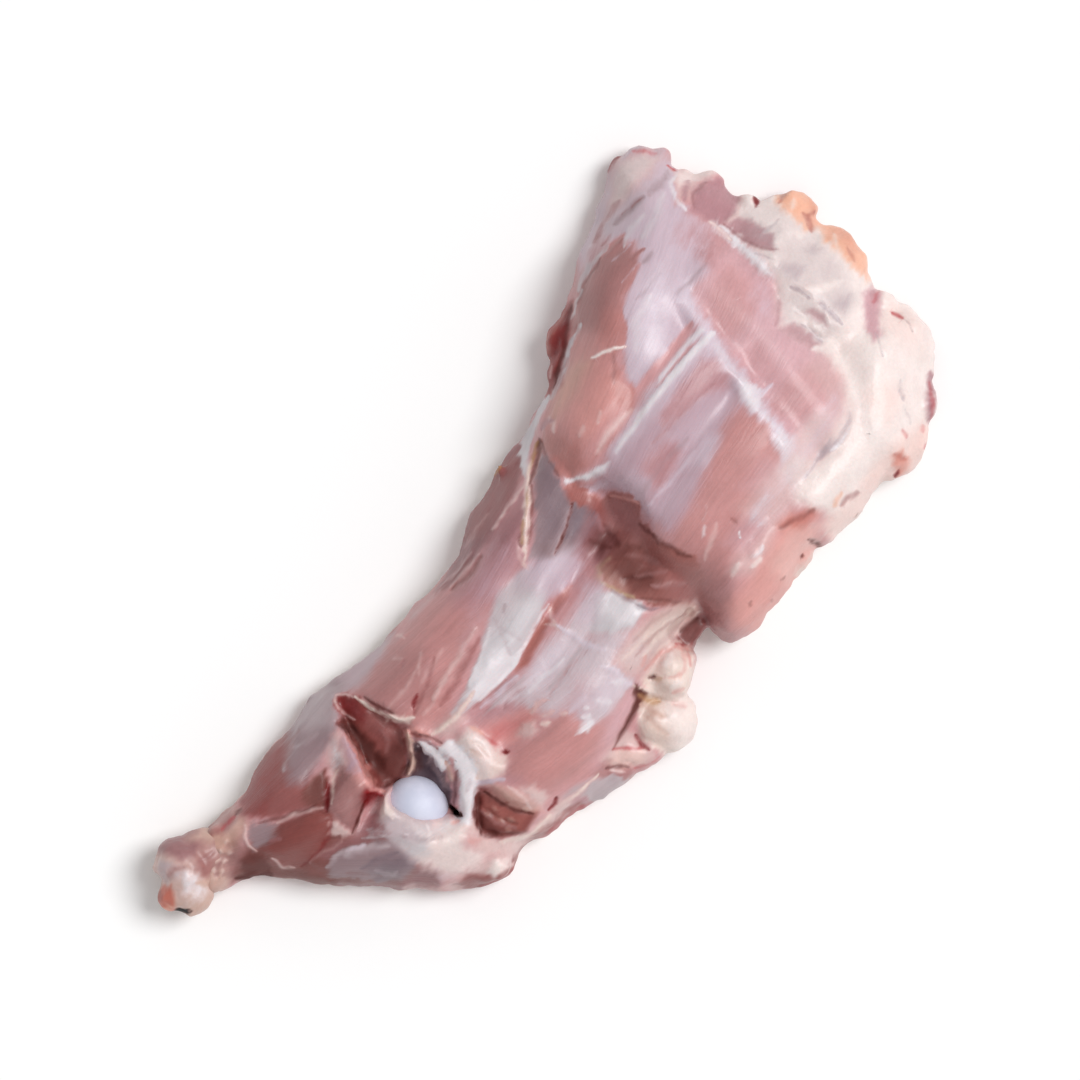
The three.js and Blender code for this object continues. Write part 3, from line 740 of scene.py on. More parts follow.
patch("ash", 0.4, 4.5, [(177, -3), (188, -5), (188, -11), (178, -11)], -0.3)
stroke("ash", 0.5, 1.6, [(177, 23), (183, 21.5), (186, 21.5)], -0.3)
stroke("ivory", 0.5, 3, [(158, -8), (160, -16), (160, -24)], 0.7)
stroke("ivory", 0.7, 3.4, [(170, -6), (174, -11), (182, -15)], 0.6)
stroke("ivory", 0.5, 4, [(177, 16), (184, 14), (187, 10)], 0.5)
stroke("ivory", 0.9, 2.4, [(152, -24), (156, -28), (162, -28)], 0.5)
patch("ash", 0.6, 2, [(121, -54), (131, -56), (142, -53), (140, -57), (128, -58.5), (120, -57)])
stroke("snow", 0.6, 1.6, [(124, -57), (130, -58.5), (137, -57.5)], 0.2)
stroke("ash", 0.5, 1.7, [(108, -56), (118, -55.5), (128, -54)], -0.2)
patch("blossom", 1.0, 2, [
    (172, -42), (174, -36), (179, -30), (185, -25.5), (190, -27), (190, -31.5), (184, -34.5), (179, -38.5),
    (175.5, -43),
], -0.3)
patch("heather", 0.4, 3, [(174, -39), (180, -32), (187, -28), (184, -33), (178, -37)])
stroke("ash", 0.5, 1.5, [(175, -40), (171, -46), (169, -49)], -0.4)
stroke("blood", 0.35, 1.4, [(184, -31), (190, -30)], -0.4)
stroke("blood", 0.75, 1.5, [(186.5, -40), (187.5, -45)], -0.5)
stroke("slate", 0.4, 1.4, [(187.5, -46), (187, -49), (185, -52)], -0.5)
stroke("heather", 0.9, 4, [(177, -69), (169, -76), (161, -82)], -0.4)
stroke("blood", 0.4, 1.6, [(174, -71), (168, -78), (162, -82)], -0.2)
stroke("ash", 0.55, 2.6, [(160, -67), (163, -64), (167, -61)], -0.3)
stroke("ash", 0.4, 2.2, [(155, -76), (158, -70)], -0.3)
stroke("terracotta", 0.6, 2.4, [(141, -79), (142, -84)], -0.5)
patch("ember", 0.55, 2, [(134, -85), (140, -79), (144, -80), (143, -86), (136, -88)])
stroke("wine", 0.9, 1.8, [(134, -85.8), (136.5, -84.8)], -0.8)
stroke("blood", 0.5, 1.6, [(151, -87), (154, -86.5)], -0.3)
stroke("blood", 0.3, 1.6, [(149, -78), (151, -75)], -0.3)
stroke("blood", 0.25, 2, [(156, -82), (158, -80)], -0.2)
patch("snow", 0.85, 2.8, [
    (165.5, 42.5), (168, 40), (169, 34), (168, 26), (168, 18), (167, 11), (164, 8), (163, 14), (164, 26),
    (164.3, 36),
], 0.6, 3)
stroke("ivory", 0.8, 1.8, [(166, 43), (166, 37), (165.6, 31)], 0.5)
stroke("plum", 0.5, 1.4, [(168.8, 38), (168.8, 28), (171, 20), (175, 14)], -0.6)
stroke("ash", 0.5, 1.5, [(168, 20), (171, 12)], -0.3)
stroke("snow", 0.55, 1.9, [(163, 54), (164, 61), (168, 66), (174, 67)], 0.3)
stroke("heather", 0.7, 2.6, [(166, 57), (169, 60), (174, 61)], -0.5)
stroke("plum", 0.5, 1.5, [(166, 52), (170, 56), (178, 55)], -0.4)
stroke("blush", 0.8, 1.6, [(171, 37), (176, 36.5), (180, 38)], 0.5)
stroke("wine", 1.0, 1.8, [(186, 36), (184.5, 32.5)], -0.8)
stroke("wine", 0.6, 1.3, [(183, 32), (187, 34)], -0.4)
stroke("blood", 0.9, 1.8, [(172.5, 72), (173.5, 68)], -0.6)
stroke("blood", 0.4, 2, [(168, 87), (172, 83), (174, 79)])
stroke("wine", 0.7, 2.2, [(154, 90), (158, 91), (163, 90)])
stroke("terracotta", 0.6, 2, [(190, 8), (193, 11), (194, 16)], -0.5)
stroke("terracotta", 0.5, 1.6, [(194, 14), (198, 12)], -0.4)
stroke("terracotta", 0.5, 1.6, [(191, 26), (197, 27), (200, 25)], -0.2)
stroke("cream", 0.6, 2.4, [(192, 20), (196, 22)], 0.4)
stroke("cream", 0.6, 2, [(193, -4), (196, 0)], 0.4)
stroke("terracotta", 0.35, 1.5, [(192, -14), (195, -8)], -0.3)

# Arm: the two long muscles, tendon band, films, and the fat that hangs below them
patch("salmon", 0.9, 5, [
    (-82, 31), (-60, 33), (-24, 34), (-6, 28), (-8, 12), (-24, 8), (-60, -3), (-78, -4),
], 0.8, 9)
patch("clay", 0.5, 6, [(-82, 30), (-54, 30), (-48, 18), (-60, 9), (-80, 8)])
patch("heather", 0.8, 7, [(-26, 26), (-8, 28), (12, 30), (26, 28), (18, 18), (6, 10), (-10, 10), (-22, 12)])
patch("plum", 0.6, 5, [(2, 29), (14, 31), (28, 30), (24, 24), (14, 19), (6, 20)])
patch("ash", 0.45, 4, [(-44, 35), (-28, 34), (-28, 30), (-42, 30)])
patch("ash", 0.85, 4, [
    (-100, 44), (-80, 44), (-60, 38), (-44, 37), (-60, 31), (-78, 30), (-84, 34), (-94, 30),
])
patch("thistle", 0.5, 4, [(-84, 42), (-62, 37), (-62, 31), (-80, 32)])
patch("heather", 0.7, 6, [(-58, -11), (-36, -14), (-30, -18), (-36, -28), (-52, -28)])
patch("rose", 0.7, 6, [(-36, -14), (20, -12), (20, -22), (-10, -18), (-30, -20)])
patch("gauze", 0.9, 6, [
    (-46, -18), (-30, -20), (-14, -18), (8, -20), (20, -20), (8, -29), (-6, -30), (-38, -30),
])
patch("gauze", 0.9, 6, [
    (-38, -31), (-8, -30), (4, -32), (14, -42), (4, -50), (-2, -58), (-26, -59), (-34, -48),
], 0.6, 8)
patch("pearl", 0.5, 7, [(-30, -20), (-10, -20), (-8, -27), (-28, -28)])
patch("thistle", 0.4, 6, [(-34, -40), (-18, -40), (-16, -48), (-30, -50)])
patch("blossom", 0.3, 5, [(-34, -37), (-14, -35), (-8, -44), (-28, -48)])
patch("pearl", 0.4, 4, [(-20, -47), (-6, -46), (-4, -56), (-20, -55)])
patch("blossom", 0.9, 4, [(-42, -59), (-20, -58), (-4, -58), (-6, -62), (-24, -66), (-42, -67)])
patch("salmon", 1.0, 5, [
    (-66, -40), (-56, -37), (-42, -40), (-30, -42), (-29, -50), (-24, -58), (-32, -64), (-46, -66),
    (-60, -59), (-66, -48),
], 1.2, 8)
patch("heather", 0.5, 3, [(-70, -36), (-64, -38), (-64, -48), (-68, -46)])
patch("blush", 0.7, 3, [(-73, -3), (-60, -7), (-58, -13), (-70, -13)])
patch("salmon", 0.8, 4, [(-73, 5), (-60, 6), (-58, -2), (-64, -6), (-72, -3)])
patch("silver", 0.95, 2.5, [
    (-62, -7), (-50, -5), (-38, -1), (-22, 6), (-12, 10), (2, 9), (8, 4), (4, -5), (-4, -8), (-14, -10),
    (-26, -13), (-36, -13.5), (-48, -12), (-60, -10),
], 0.8, 5)
patch("ash", 0.6, 4, [(-30, 3), (-20, 7), (-10, 10), (4, 9), (10, 3), (8, -3), (0, 0), (-8, 2), (-20, 1)])
patch("snow", 0.9, 3, [(-52, -6), (-40, -3), (-30, -2), (-26, -11), (-36, -13), (-50, -11)])
patch("lilac", 0.85, 5, [(-2, 8), (8, 9), (20, 12), (36, 10), (38, 0), (30, -9), (14, -11), (2, -8)])
patch("pearl", 0.5, 4, [(6, 3), (18, 3), (27, 0), (24, -6), (10, -6)])
patch("slate", 1.0, 4, [(17, 4.5), (26, 7), (38, 11), (40, 2), (32, -3), (24, -1)])
patch("dusk", 0.8, 4, [(25, 4), (37, 9), (41, 2), (39, -7), (31, -5)])
patch("plum", 0.75, 6, [(22, -6), (28, 0), (38, 3), (41, -4), (38, -14), (26, -13)])
# Painted shadow in the crease at the foot of the blade's cut face, carved a little too
patch("umber", 0.65, 4, [(30, -5), (37, -4), (40, -10), (37, -15), (28, -13)], -0.5)
stroke("umber", 0.4, 2.2, [(31, -4), (32, -8), (34, -13)], -0.3)
stroke("umber", 0.4, 2.4, [(40, -4), (38, -9), (37, -15)], -0.4)
patch("slate", 0.95, 3, [
    (10, 10), (20, 17), (30, 25), (40, 32), (46, 36), (46, 30), (43, 24), (39, 17), (37, 11), (26, 7),
    (16, 4),
])
patch("dusk", 0.5, 4, [(18, 11), (30, 22), (42, 33), (45, 29), (40, 18), (36, 12), (24, 8)])
patch("plum", 1.0, 2, [
    (-27, 31), (-12, 34), (-4, 40), (10, 43), (36, 47), (44, 44), (38, 38), (26, 32), (8, 29), (-6, 28),
    (-20, 28),
], 0.6, 5)
patch("rust", 0.6, 3, [(-2, 36), (10, 43), (34, 46), (40, 42), (36, 36), (22, 32), (4, 31)])
patch("garnet", 0.2, 4, [(-2, 36), (10, 43), (34, 47), (42, 44), (36, 38), (18, 36)])
patch("silver", 0.95, 3, [
    (3, -29), (14, -21), (20, -24), (23, -33), (24, -41), (16, -42), (7, -36),
], 0.6, 4)
patch("snow", 0.8, 3, [(12, -28), (20, -28), (23, -36), (20, -40), (12, -36)])
patch("lilac", 0.6, 5, [(0, -20), (18, -14), (20, -20), (6, -28)])
patch("blush", 0.8, 4, [
    (-2, -44), (14, -43), (26, -46), (34, -50), (40, -55), (36, -58), (20, -58), (4, -57), (-2, -52),
])
patch("tan", 0.8, 3, [(14, -45), (26, -46), (38, -53), (38, -58), (26, -56), (12, -53)])
patch("chalk", 0.45, 4, [(0, -44), (14, -43), (28, -47), (36, -53), (30, -57), (12, -56), (0, -54)])
patch("rust", 0.9, 1.6, [(21, -60), (27, -58), (34, -58.5), (38, -63), (33, -66), (26, -70), (21, -66)])
patch("cream", 1.0, 2, [
    (0, -58), (12, -57), (23, -59), (23, -69), (14, -78), (11, -90), (-4, -96), (-18, -90), (-19, -74),
    (-10, -65), (-2, -62),
])
patch("ivory", 0.8, 4, [(-8, -74), (4, -72), (9, -82), (-2, -95), (-14, -90), (-12, -80)])
# Painted beige shade at the upper left of the hanging fat
patch("tan", 0.4, 4, [(-16, -82), (-10, -70), (-6, -72), (-10, -84)])
patch("blush", 0.6, 3, [(2, -58), (12, -57), (22, -60), (20, -64), (10, -61)])
patch("blush", 0.95, 2.5, [(-36, -67), (-20, -67), (-18, -78), (-22, -84), (-30, -80)])
patch("clay", 0.7, 2.5, [(-44, -68), (-34, -69), (-29, -78), (-34, -85), (-42, -80)])
patch("ash", 1.0, 2, [(-54, -71), (-46, -70), (-37, -76), (-36, -82), (-46, -80), (-54, -77)])
patch("ash", 0.7, 3, [(-62, -64), (-52, -65), (-44, -69), (-52, -71), (-60, -69)])
patch("heather", 0.9, 2, [
    (-92, -66), (-76, -67), (-58, -69), (-52, -72), (-52, -80), (-80, -76), (-94, -74),
])
stroke("blood", 0.35, 2.4, [(-92, -68), (-80, -69), (-66, -72), (-54, -75)])
patch("ivory", 0.85, 2, [
    (-71, -15), (-62, -15.5), (-59, -18), (-60, -30), (-61, -36), (-66, -39), (-74, -36.5), (-78, -33),
    (-75, -26), (-73, -20),
], 1.0, 3)
patch("tan", 0.4, 3, [(-69, -33), (-62, -31), (-61, -37), (-66, -39), (-70, -37)])
patch("shrimp", 0.6, 3, [
    (-60, -19), (-54, -21), (-44, -27), (-36, -32), (-42, -36), (-54, -35), (-60, -30),
])
# Upper muscle: streaks of film, blood in the creases
stroke("blush", 0.4, 1.6, [(-79, 15.5), (-66, 15), (-54, 17)], 0.2)
stroke("blush", 0.4, 1.5, [(-58, 14), (-53, 18), (-50, 20)], 0.2)
stroke("blush", 0.35, 1.6, [(-60, 11.5), (-50, 12.5), (-43, 13.5)], 0.2)
stroke("blush", 0.65, 2.2, [(-62, 3.5), (-46, 6), (-28, 9)], 0.6)
patch("thistle", 0.4, 4, [(-24, 10), (-10, 12), (-8, 22), (-14, 22)])
patch("thistle", 0.4, 6, [(-14, 11), (0, 11), (9, 17), (8, 26), (-8, 26), (-16, 20)])
patch("clay", 0.25, 6, [(-44, 3), (-24, 8), (-20, 18), (-42, 16)])
stroke("rust", 0.6, 2.6, [(-62, -1), (-46, 1.5), (-30, 5.5)], -0.6)
patch("thistle", 0.3, 5, [(-40, 4), (-22, 8), (-20, 18), (-40, 14)])
stroke("rust", 0.5, 1.6, [(-72, 5), (-60, 9), (-48, 14)], -0.5)
stroke("blush", 0.35, 1.6, [(-70, 2), (-58, 3)], 0.3)
stroke("wine", 0.9, 1.7, [(-70, 7.5), (-67, 9), (-64.5, 9.5)], -0.5)
stroke("wine", 0.5, 1.1, [(-73, 5), (-70, 7)], -0.3)
stroke("blush", 0.7, 1.5, [(-51, 32), (-50, 29)], 0.4)
stroke("blush", 0.4, 1.5, [(-60, 27), (-57, 24)], 0.3)
stroke("plum", 0.4, 1.4, [(-60, 22), (-57, 23)], -0.2)
stroke("brick", 0.5, 1.3, [(-58, 34.5), (-46, 35)])
# Tendon band and the bare strips beside it
stroke("cream", 0.9, 2.2, [(-74, -6), (-66, -8), (-56, -8.5), (-48, -8)], 0.6)
# A painted highlight on the tendon band
stroke("snow", 1.2, 3.8, [(-41, -7), (-36, -6), (-32, -9)], 0.6)
stroke("snow", 0.8, 1.5, [(-50, -12), (-36, -13.5), (-24, -13), (-10, -9.5), (0, -8)], 0.25)
stroke("snow", 0.6, 1.6, [(-48, -5), (-36, -1), (-24, 4)], 0.3)
stroke("ash", 0.4, 1.8, [(-27, -10), (-24, -4), (-21, 3)], -0.2)
stroke("ash", 0.35, 1.6, [(-19, -9), (-21, -1), (-20, 6)], -0.2)
stroke("slate", 0.4, 1.3, [(-15, 4), (-12, 6)], -0.2)
patch("terracotta", 0.85, 1.5, [
    (-31, -15.5), (-22, -12.8), (-12, -10.2), (-5, -9.6), (-6, -13.5), (-14, -15.5), (-25, -17.6),
], -0.3)
patch("terracotta", 0.55, 1.6, [(-3, -9), (4, -8.8), (12, -10.5), (6, -13), (-2, -13)], -0.3)
stroke("blush", 0.8, 1.3, [(-1, -8.5), (-4, -13), (-6, -18)], 0.5)
stroke("blush", 0.8, 1.2, [(-8, -12), (-5.5, -16)], 0.5)
stroke("rust", 0.35, 1.6, [(-54, -12), (-44, -13), (-36, -15)], -0.4)
stroke("ash", 0.4, 1.6, [(-54, -17), (-40, -18.5), (-30, -20)], -0.3)
stroke("plum", 0.4, 1.4, [(-46, -22), (-40, -21), (-33, -23)], -0.4)
stroke("pearl", 0.45, 2.4, [(-52, -14), (-42, -16), (-32, -17)], 0.2)
stroke("snow", 0.55, 2, [(-34, -25.5), (-24, -26), (-14, -28)], 0.2)
stroke("ash", 0.5, 1.4, [(-28, -31), (-16, -31), (-6, -30)], -0.3)
stroke("plum", 0.25, 1.8, [(-30, -33), (-16, -32), (0, -33)], -0.2)
stroke("ash", 0.4, 1.4, [(-2, -22), (8, -20), (16, -21)], -0.3)
# Yellow-white strand along the side of the arm, with painted shade in the gap below it, and branches
stroke("umber", 0.5, 2, [(11, 16), (13, 18.5), (16, 19)], -1.0)
stroke("russet", 0.6, 1.8, [(13, 14.6), (20, 19), (28, 25), (33, 29)], -0.8)
stroke("russet", 0.9, 1.9, [(33, 30.5), (40, 33), (46, 36), (50, 39)], -1.4)
stroke("gold", 0.7, 1.5, [(36, 33.5), (42, 36), (49, 39)], 0.2)
patch("cream", 0.95, 1.1, [
    (4, 7.5), (10, 12.6), (15, 16.4), (21, 20.6), (25, 23.6), (30, 27.2), (34, 30.8), (40, 36), (37, 36),
    (31, 31), (26, 27), (19, 22), (14, 18.2), (9, 13.8),
], 1.0, 1.8)
for x, y in [(13, 16.8), (17.5, 20.4), (23, 23.6), (29, 28)]:
    stroke("tan", 0.7, 1.6, [(x - 1.2, y - 0.6), (x + 1.6, y + 1.2)], 0.3)
stroke("gold", 0.5, 1.2, [(12, 16.4), (16, 20), (20, 22.8)])
stroke("gold", 0.4, 1.1, [(25, 25), (29, 28.6)])
patch("silver", 0.9, 1.6, [(33, 33), (38, 36), (44, 40), (52, 44), (50, 46), (43, 44), (37, 39)], 0.6, 2)
stroke("blush", 0.7, 1.4, [(8, 29.5), (18, 31), (28, 31.5), (33, 32)], 0.6)
stroke("blush", 0.5, 1.5, [(5, 11), (8, 15), (10, 17)], 0.4)
# Fascia across the arm, the tendon patch, the fan of fibres towards the blade
stroke("pearl", 0.6, 2.2, [(-5, -16), (-4, -24), (-3, -32), (0, -39)], 0.4)
stroke("pearl", 0.6, 2.4, [(-6, -42), (-4, -48), (-5, -54), (-3, -59)], 0.5)
stroke("cream", 1.1, 2, [(-4, -57), (-2, -64), (1, -70), (4, -75)], 1.6)
# Painted shade along the lower right of the tendon patch
stroke("dusk", 0.6, 2, [(23, -37), (25, -42), (28, -45)], -0.6)
stroke("slate", 0.4, 1.6, [(21, -24), (22, -31), (23, -37)], -0.4)
stroke("cream", 0.5, 1.6, [(2, -47), (16, -48), (30, -52)], 0.3)
stroke("cream", 0.5, 1.7, [(8, -52), (22, -53), (38, -56)], 0.3)
stroke("clay", 0.3, 1.4, [(6, -50), (20, -50.5), (34, -54.5)], -0.3)
stroke("clay", 0.25, 1.4, [(10, -45), (22, -46.5), (31, -49)], -0.3)
stroke("cream", 0.6, 1.6, [(10, -56), (24, -57), (38, -59)], 0.4)
stroke("shrimp", 0.6, 2, [(5, -55), (9, -53)], 0.2)
# Painted shade in the recess under the blade
patch("umber", 0.5, 2, [(24, -59.5), (34, -58.5), (37.5, -62), (32, -65), (26, -66)])
stroke("umber", 0.8, 2, [(26, -58), (30, -58.4), (35, -60)], -0.6)
stroke("umber", 0.4, 1.5, [(22, -62), (26, -64), (31, -63)], -0.5)
# Lower muscle and belly: painted highlights in the film, blood and crumbs of fat beside the fat patch
patch("snow", 0.7, 1.6, [(-35, -52), (-30, -51), (-25, -51), (-26, -54.5), (-31, -55.5)], 0.3)
stroke("snow", 0.6, 2, [(-28, -49), (-25, -51)], 0.3)
stroke("snow", 0.7, 1.6, [(-23, -49), (-24, -47)], 0.3)
stroke("snow", 0.5, 3, [(-18, -50), (-15, -54)], 0.3)
stroke("snow", 0.5, 2.8, [(-8, -50), (-5, -53)], 0.3)
stroke("pearl", 0.4, 2.4, [(-30, -44), (-20, -45)], 0.2)
patch("blood", 0.25, 4, [(-60, -19), (-55, -22), (-45, -29), (-41, -33), (-50, -32), (-58, -29)])
stroke("blood", 0.4, 1.6, [(-60, -24), (-59, -29)], -0.3)
patch("blush", 0.8, 1.6, [
    (-51, -33), (-46, -32.5), (-42, -35), (-43, -38.5), (-47, -38.5), (-50, -36),
], 0.8, 2)
stroke("cream", 0.8, 2, [(-41, -38), (-38, -40)], 0.6)
stroke("blush", 0.8, 2.2, [(-40, -32), (-35, -31), (-32, -33)], 0.5)
stroke("blush", 0.7, 2, [(-38, -36), (-33, -38)], 0.5)
stroke("blush", 0.8, 1.8, [(-33, -41), (-30, -43)], 0.5)
stroke("wine", 1.1, 1.6, [(-60, -33.5), (-58.5, -35)], -1.2)
stroke("tan", 0.5, 1.8, [(-68, -22), (-67, -28)], -0.4)
stroke("apricot", 0.4, 1.6, [(-61, -16), (-59.5, -22)])
stroke("tan", 0.6, 1.6, [(-71, -14), (-70.5, -20), (-72.5, -27), (-76, -33)], -0.8)
stroke("tan", 0.35, 1.6, [(-66, -18), (-64, -24), (-65, -30)], -0.4)
stroke("ivory", 0.5, 2.4, [(-67, -17), (-63, -20), (-62, -27)], 0.4)
stroke("lilac", 0.9, 2.4, [(-78, -33), (-73, -37), (-68, -41)], 0.4)
# Hanging fat: folds and slits darkened with painted shade, and tips of red
patch("umber", 0.95, 1.2, [
    (-2.5, -57.5), (-3.2, -63.5), (-8, -64.8), (-17, -66.6), (-30, -68), (-18, -65), (-9, -62),
], -1.0)
stroke("gold", 0.7, 2.8, [(-5, -62), (-5, -67), (-2, -70)], -0.6)
# Painted shade down a fold of the hanging fat
stroke("tan", 0.8, 3, [(-8, -65), (-7, -71), (-5, -76)], -0.5)
patch("peach", 0.85, 2, [(-36, -70), (-29, -69.5), (-22, -79), (-26, -82), (-33, -76)], 0.5, 3)
stroke("blood", 0.55, 1.5, [(-30, -68), (-26, -72), (-21, -78)], -0.6)
stroke("wine", 0.8, 1.9, [(-19, -71), (-20.5, -76), (-20.5, -80)], -0.8)
stroke("umber", 0.8, 1.9, [(3, -60.5), (5, -61.5)], -1.0)
stroke("gold", 0.3, 2, [(4, -62.5), (6, -64)], -0.3)
stroke("shrimp", 0.5, 1.8, [(7, -65), (10, -68.5), (14, -69.6), (18, -67.6), (20.5, -64)], -0.7)
stroke("shrimp", 0.7, 1.4, [(20, -60), (22, -65), (18, -71)], -0.6)
stroke("blood", 0.4, 1.2, [(21, -60), (22.5, -63)], -0.3)
stroke("shrimp", 0.6, 1.8, [(4, -57), (12, -57), (20, -60)], -0.4)
stroke("shrimp", 0.5, 1.5, [(4, -72), (9, -74)], -0.5)
stroke("ivory", 0.9, 3.4, [(11, -62), (17, -61)], 0.6)
stroke("cream", 0.7, 2.6, [(7, -66), (10, -64)], 0.5)
stroke("ivory", 0.8, 2.4, [(6, -70), (10, -72)], 0.7)
# Painted shade down another fold of the hanging fat
stroke("tan", 0.5, 2.2, [(-10, -68), (-11, -76), (-10, -82)], -0.6)
stroke("shrimp", 0.4, 2, [(1, -74), (3, -80)], -0.4)
stroke("umber", 0.6, 1.4, [(-38, -71), (-34, -74), (-31, -78)], -0.9)
stroke("blood", 0.4, 1.5, [(-30, -80), (-25, -84), (-20, -85)], -0.3)
stroke("blush", 0.8, 2, [(-37, -73), (-34, -78)], 0.5)
stroke("cream", 0.9, 1.8, [(-64, -66), (-52, -69), (-42, -70)], 0.5)
# Side: the folds below the long side muscle, with painted shade in their troughs
stroke("russet", 0.5, 2, [(-22, 27), (-12, 25.3), (-3, 25.8)], -0.7)
stroke("blush", 0.45, 1.2, [(-22, 28), (-14, 27.4), (-3, 27.2)], 0.6)
stroke("russet", 0.35, 1.8, [(-25, 29.8), (-14, 28.8), (-6, 28.8)], -0.5)
stroke("blush", 0.35, 1.2, [(-24, 31), (-14, 30.2), (-4, 30.4)], 0.5)
stroke("blush", 0.3, 1.6, [(-5, 34), (4, 35), (12, 36)], 0.4)
stroke("umber", 0.9, 1.7, [(17, 3), (24, 5.2), (31, 7.8), (38, 11)], -0.6)
stroke("gold", 0.9, 2.2, [(27, 44), (32, 46)])

# Shank: two muscles and a wedge between them, the films of the flank, the opened elbow
patch("russet", 0.85, 4, [
    (-176, 22), (-162, 24), (-150, 22), (-126, 9), (-128, -6), (-118, -20), (-120, -45), (-128, -50),
    (-150, -18), (-172, 10),
])
patch("clay", 1.0, 2, [
    (-188, 40), (-180, 46), (-164, 43), (-149.5, 41), (-150, 33), (-154, 29.5), (-159, 28), (-163, 24),
    (-172, 21.5), (-188, 18),
], 0.3)
patch("tan", 0.7, 5, [(-184, 36), (-170, 40), (-151, 39), (-152, 31), (-162, 27), (-174, 24), (-184, 24)])
patch("blush", 0.5, 3, [(-163, 40), (-151, 39), (-151, 32), (-156, 29), (-162, 32)])
patch("apricot", 0.3, 3, [(-170, 40), (-160, 34.5), (-152, 33.5), (-153, 29), (-160, 28), (-168, 30)])
patch("clay", 0.45, 3, [(-168, 25), (-160, 27), (-160, 22), (-170, 20)])
patch("rust", 1.0, 1.8, [
    (-150.5, 33), (-147, 37.5), (-140, 40), (-131, 43), (-112, 45), (-103, 43), (-104, 35), (-112, 27),
    (-120, 22), (-128, 14), (-137, 18), (-145, 24),
], 1.2, 10)
patch("garnet", 0.6, 4, [
    (-151, 33), (-147, 38), (-136, 42), (-122, 44), (-112, 44), (-122, 35), (-134, 32), (-144, 28),
])
patch("slate", 0.95, 6, [
    (-127, 26), (-122, 34), (-115, 39), (-106, 45), (-84, 45), (-80, 40), (-84, 34), (-88, 37), (-93, 31),
    (-97, 26), (-100, 20), (-112, 21), (-122, 20),
])
patch("ash", 0.85, 5, [(-108, 42), (-96, 44), (-86, 42), (-90, 36), (-98, 29), (-106, 34)])
patch("heather", 0.4, 4, [(-122, 24), (-112, 24), (-104, 20), (-112, 18), (-120, 20)])
patch("slate", 0.8, 3.5, [
    (-159, 20), (-157, 27), (-151, 28.5), (-147, 24.5), (-143, 20), (-150, 18.5), (-157, 18),
])
patch("brick", 1.0, 1.6, [
    (-157.5, 18.5), (-150, 18), (-143, 18.5), (-135, 15), (-128, 10.5), (-126, 6), (-129, 2), (-136, -1),
    (-146, -0.5), (-153, 1), (-157, 5), (-158.5, 12),
], 2.4, 7)
patch("brick", 0.5, 4, [
    (-156, 6), (-146, 0), (-136, -2), (-134, -7), (-144, -12), (-148, -20), (-156, -10),
])
patch("slate", 0.5, 4, [(-157, 21), (-150, 22), (-144, 19), (-148, 15), (-156, 16)])
patch("russet", 1.0, 1.8, HOLLOW)
# Painted shade in the hollow
patch("umber", 0.4, 3, [(-128, 15), (-121, 19), (-115, 19), (-118, 14), (-124, 11)])
patch("clay", 1.0, 1.5, [
    (-126, 6), (-122, 10), (-116, 13), (-110, 13), (-107, 8), (-107, 2), (-110, -1), (-116, -3),
    (-126, -6.5),
], 1.8, 5)
# A faint painted highlight on the wedge
patch("shrimp", 0.12, 3, [(-118, 10), (-110, 12), (-107, 8), (-108, 2), (-116, 2)])
patch("blush", 0.95, 1.3, [(-133, 0), (-128.5, 3.5), (-126.5, 0), (-127, -7), (-131, -4.5)], 0.4)
patch("plum", 0.8, 3, [
    (-144, -2), (-134, -4), (-126, -9), (-117, -20), (-122, -18), (-132, -9), (-142, -6),
])
patch("plum", 0.75, 2, [(-126, -8), (-113, -7), (-113, -14), (-117, -21)])
patch("slate", 1.0, 3, [
    (-148, -11), (-141, -7), (-133, -9), (-124, -16), (-117, -22), (-116, -31), (-119, -38), (-128, -37),
    (-137, -28), (-146, -17),
], 0.8, 6)
patch("dusk", 0.7, 4, [(-134, -22), (-126, -24), (-119, -30), (-121, -36), (-130, -33), (-136, -28)])
patch("plum", 0.8, 3, [(-137, -32), (-128, -36), (-119, -37), (-116, -46), (-122, -50), (-128, -46)])
patch("lilac", 0.6, 3, [(-118, -36), (-112, -37), (-108, -47), (-113, -53), (-119, -48)])
patch("plum", 0.6, 2.5, [(-128, -37), (-120, -38), (-117, -42), (-119, -48), (-123, -49)])
patch("ivory", 0.85, 4, [
    (-118, -22), (-112, -20), (-107, -29), (-102, -34), (-96, -34), (-91, -40), (-95, -47), (-98, -56),
    (-104, -58), (-111, -54), (-116, -48), (-119, -36),
], 0.6, 6)
patch("silver", 0.7, 4, [(-118, -22), (-110, -20), (-106, -30), (-112, -38), (-119, -34)])
patch("blush", 0.8, 3, [
    (-120, -50), (-111, -55), (-100, -57), (-92, -60), (-86, -65), (-90, -71), (-104, -68), (-120, -58),
])
patch("rust", 0.95, 1.8, [(-116, -54), (-109, -55), (-103.5, -61.5), (-105, -69), (-114, -62)])
patch("ivory", 0.9, 1.5, [(-103, -60.5), (-98, -60), (-94, -63), (-96, -66.5), (-102, -65)], 1.0, 3)
patch("blush", 1.0, 2.5, [
    (-100, -42), (-94, -41), (-89, -42), (-92, -48), (-88, -58), (-80, -64), (-60, -65), (-56, -68),
    (-62, -72), (-84, -70), (-92, -62), (-98, -56),
], 0.5)
patch("blush", 0.7, 3, [
    (-115, 14.5), (-110, 22), (-100, 27), (-97, 25), (-102, 18), (-107, 13.5), (-112, 13),
], 0.5, 4)
patch("snow", 0.6, 3, [(-114, 15.5), (-109, 20), (-102, 24), (-104, 18), (-108, 14.5)])
patch("thistle", 0.8, 2.5, [(-108, 12), (-103, 15.5), (-98.5, 21), (-98, 16), (-103, 6), (-107, 7)])
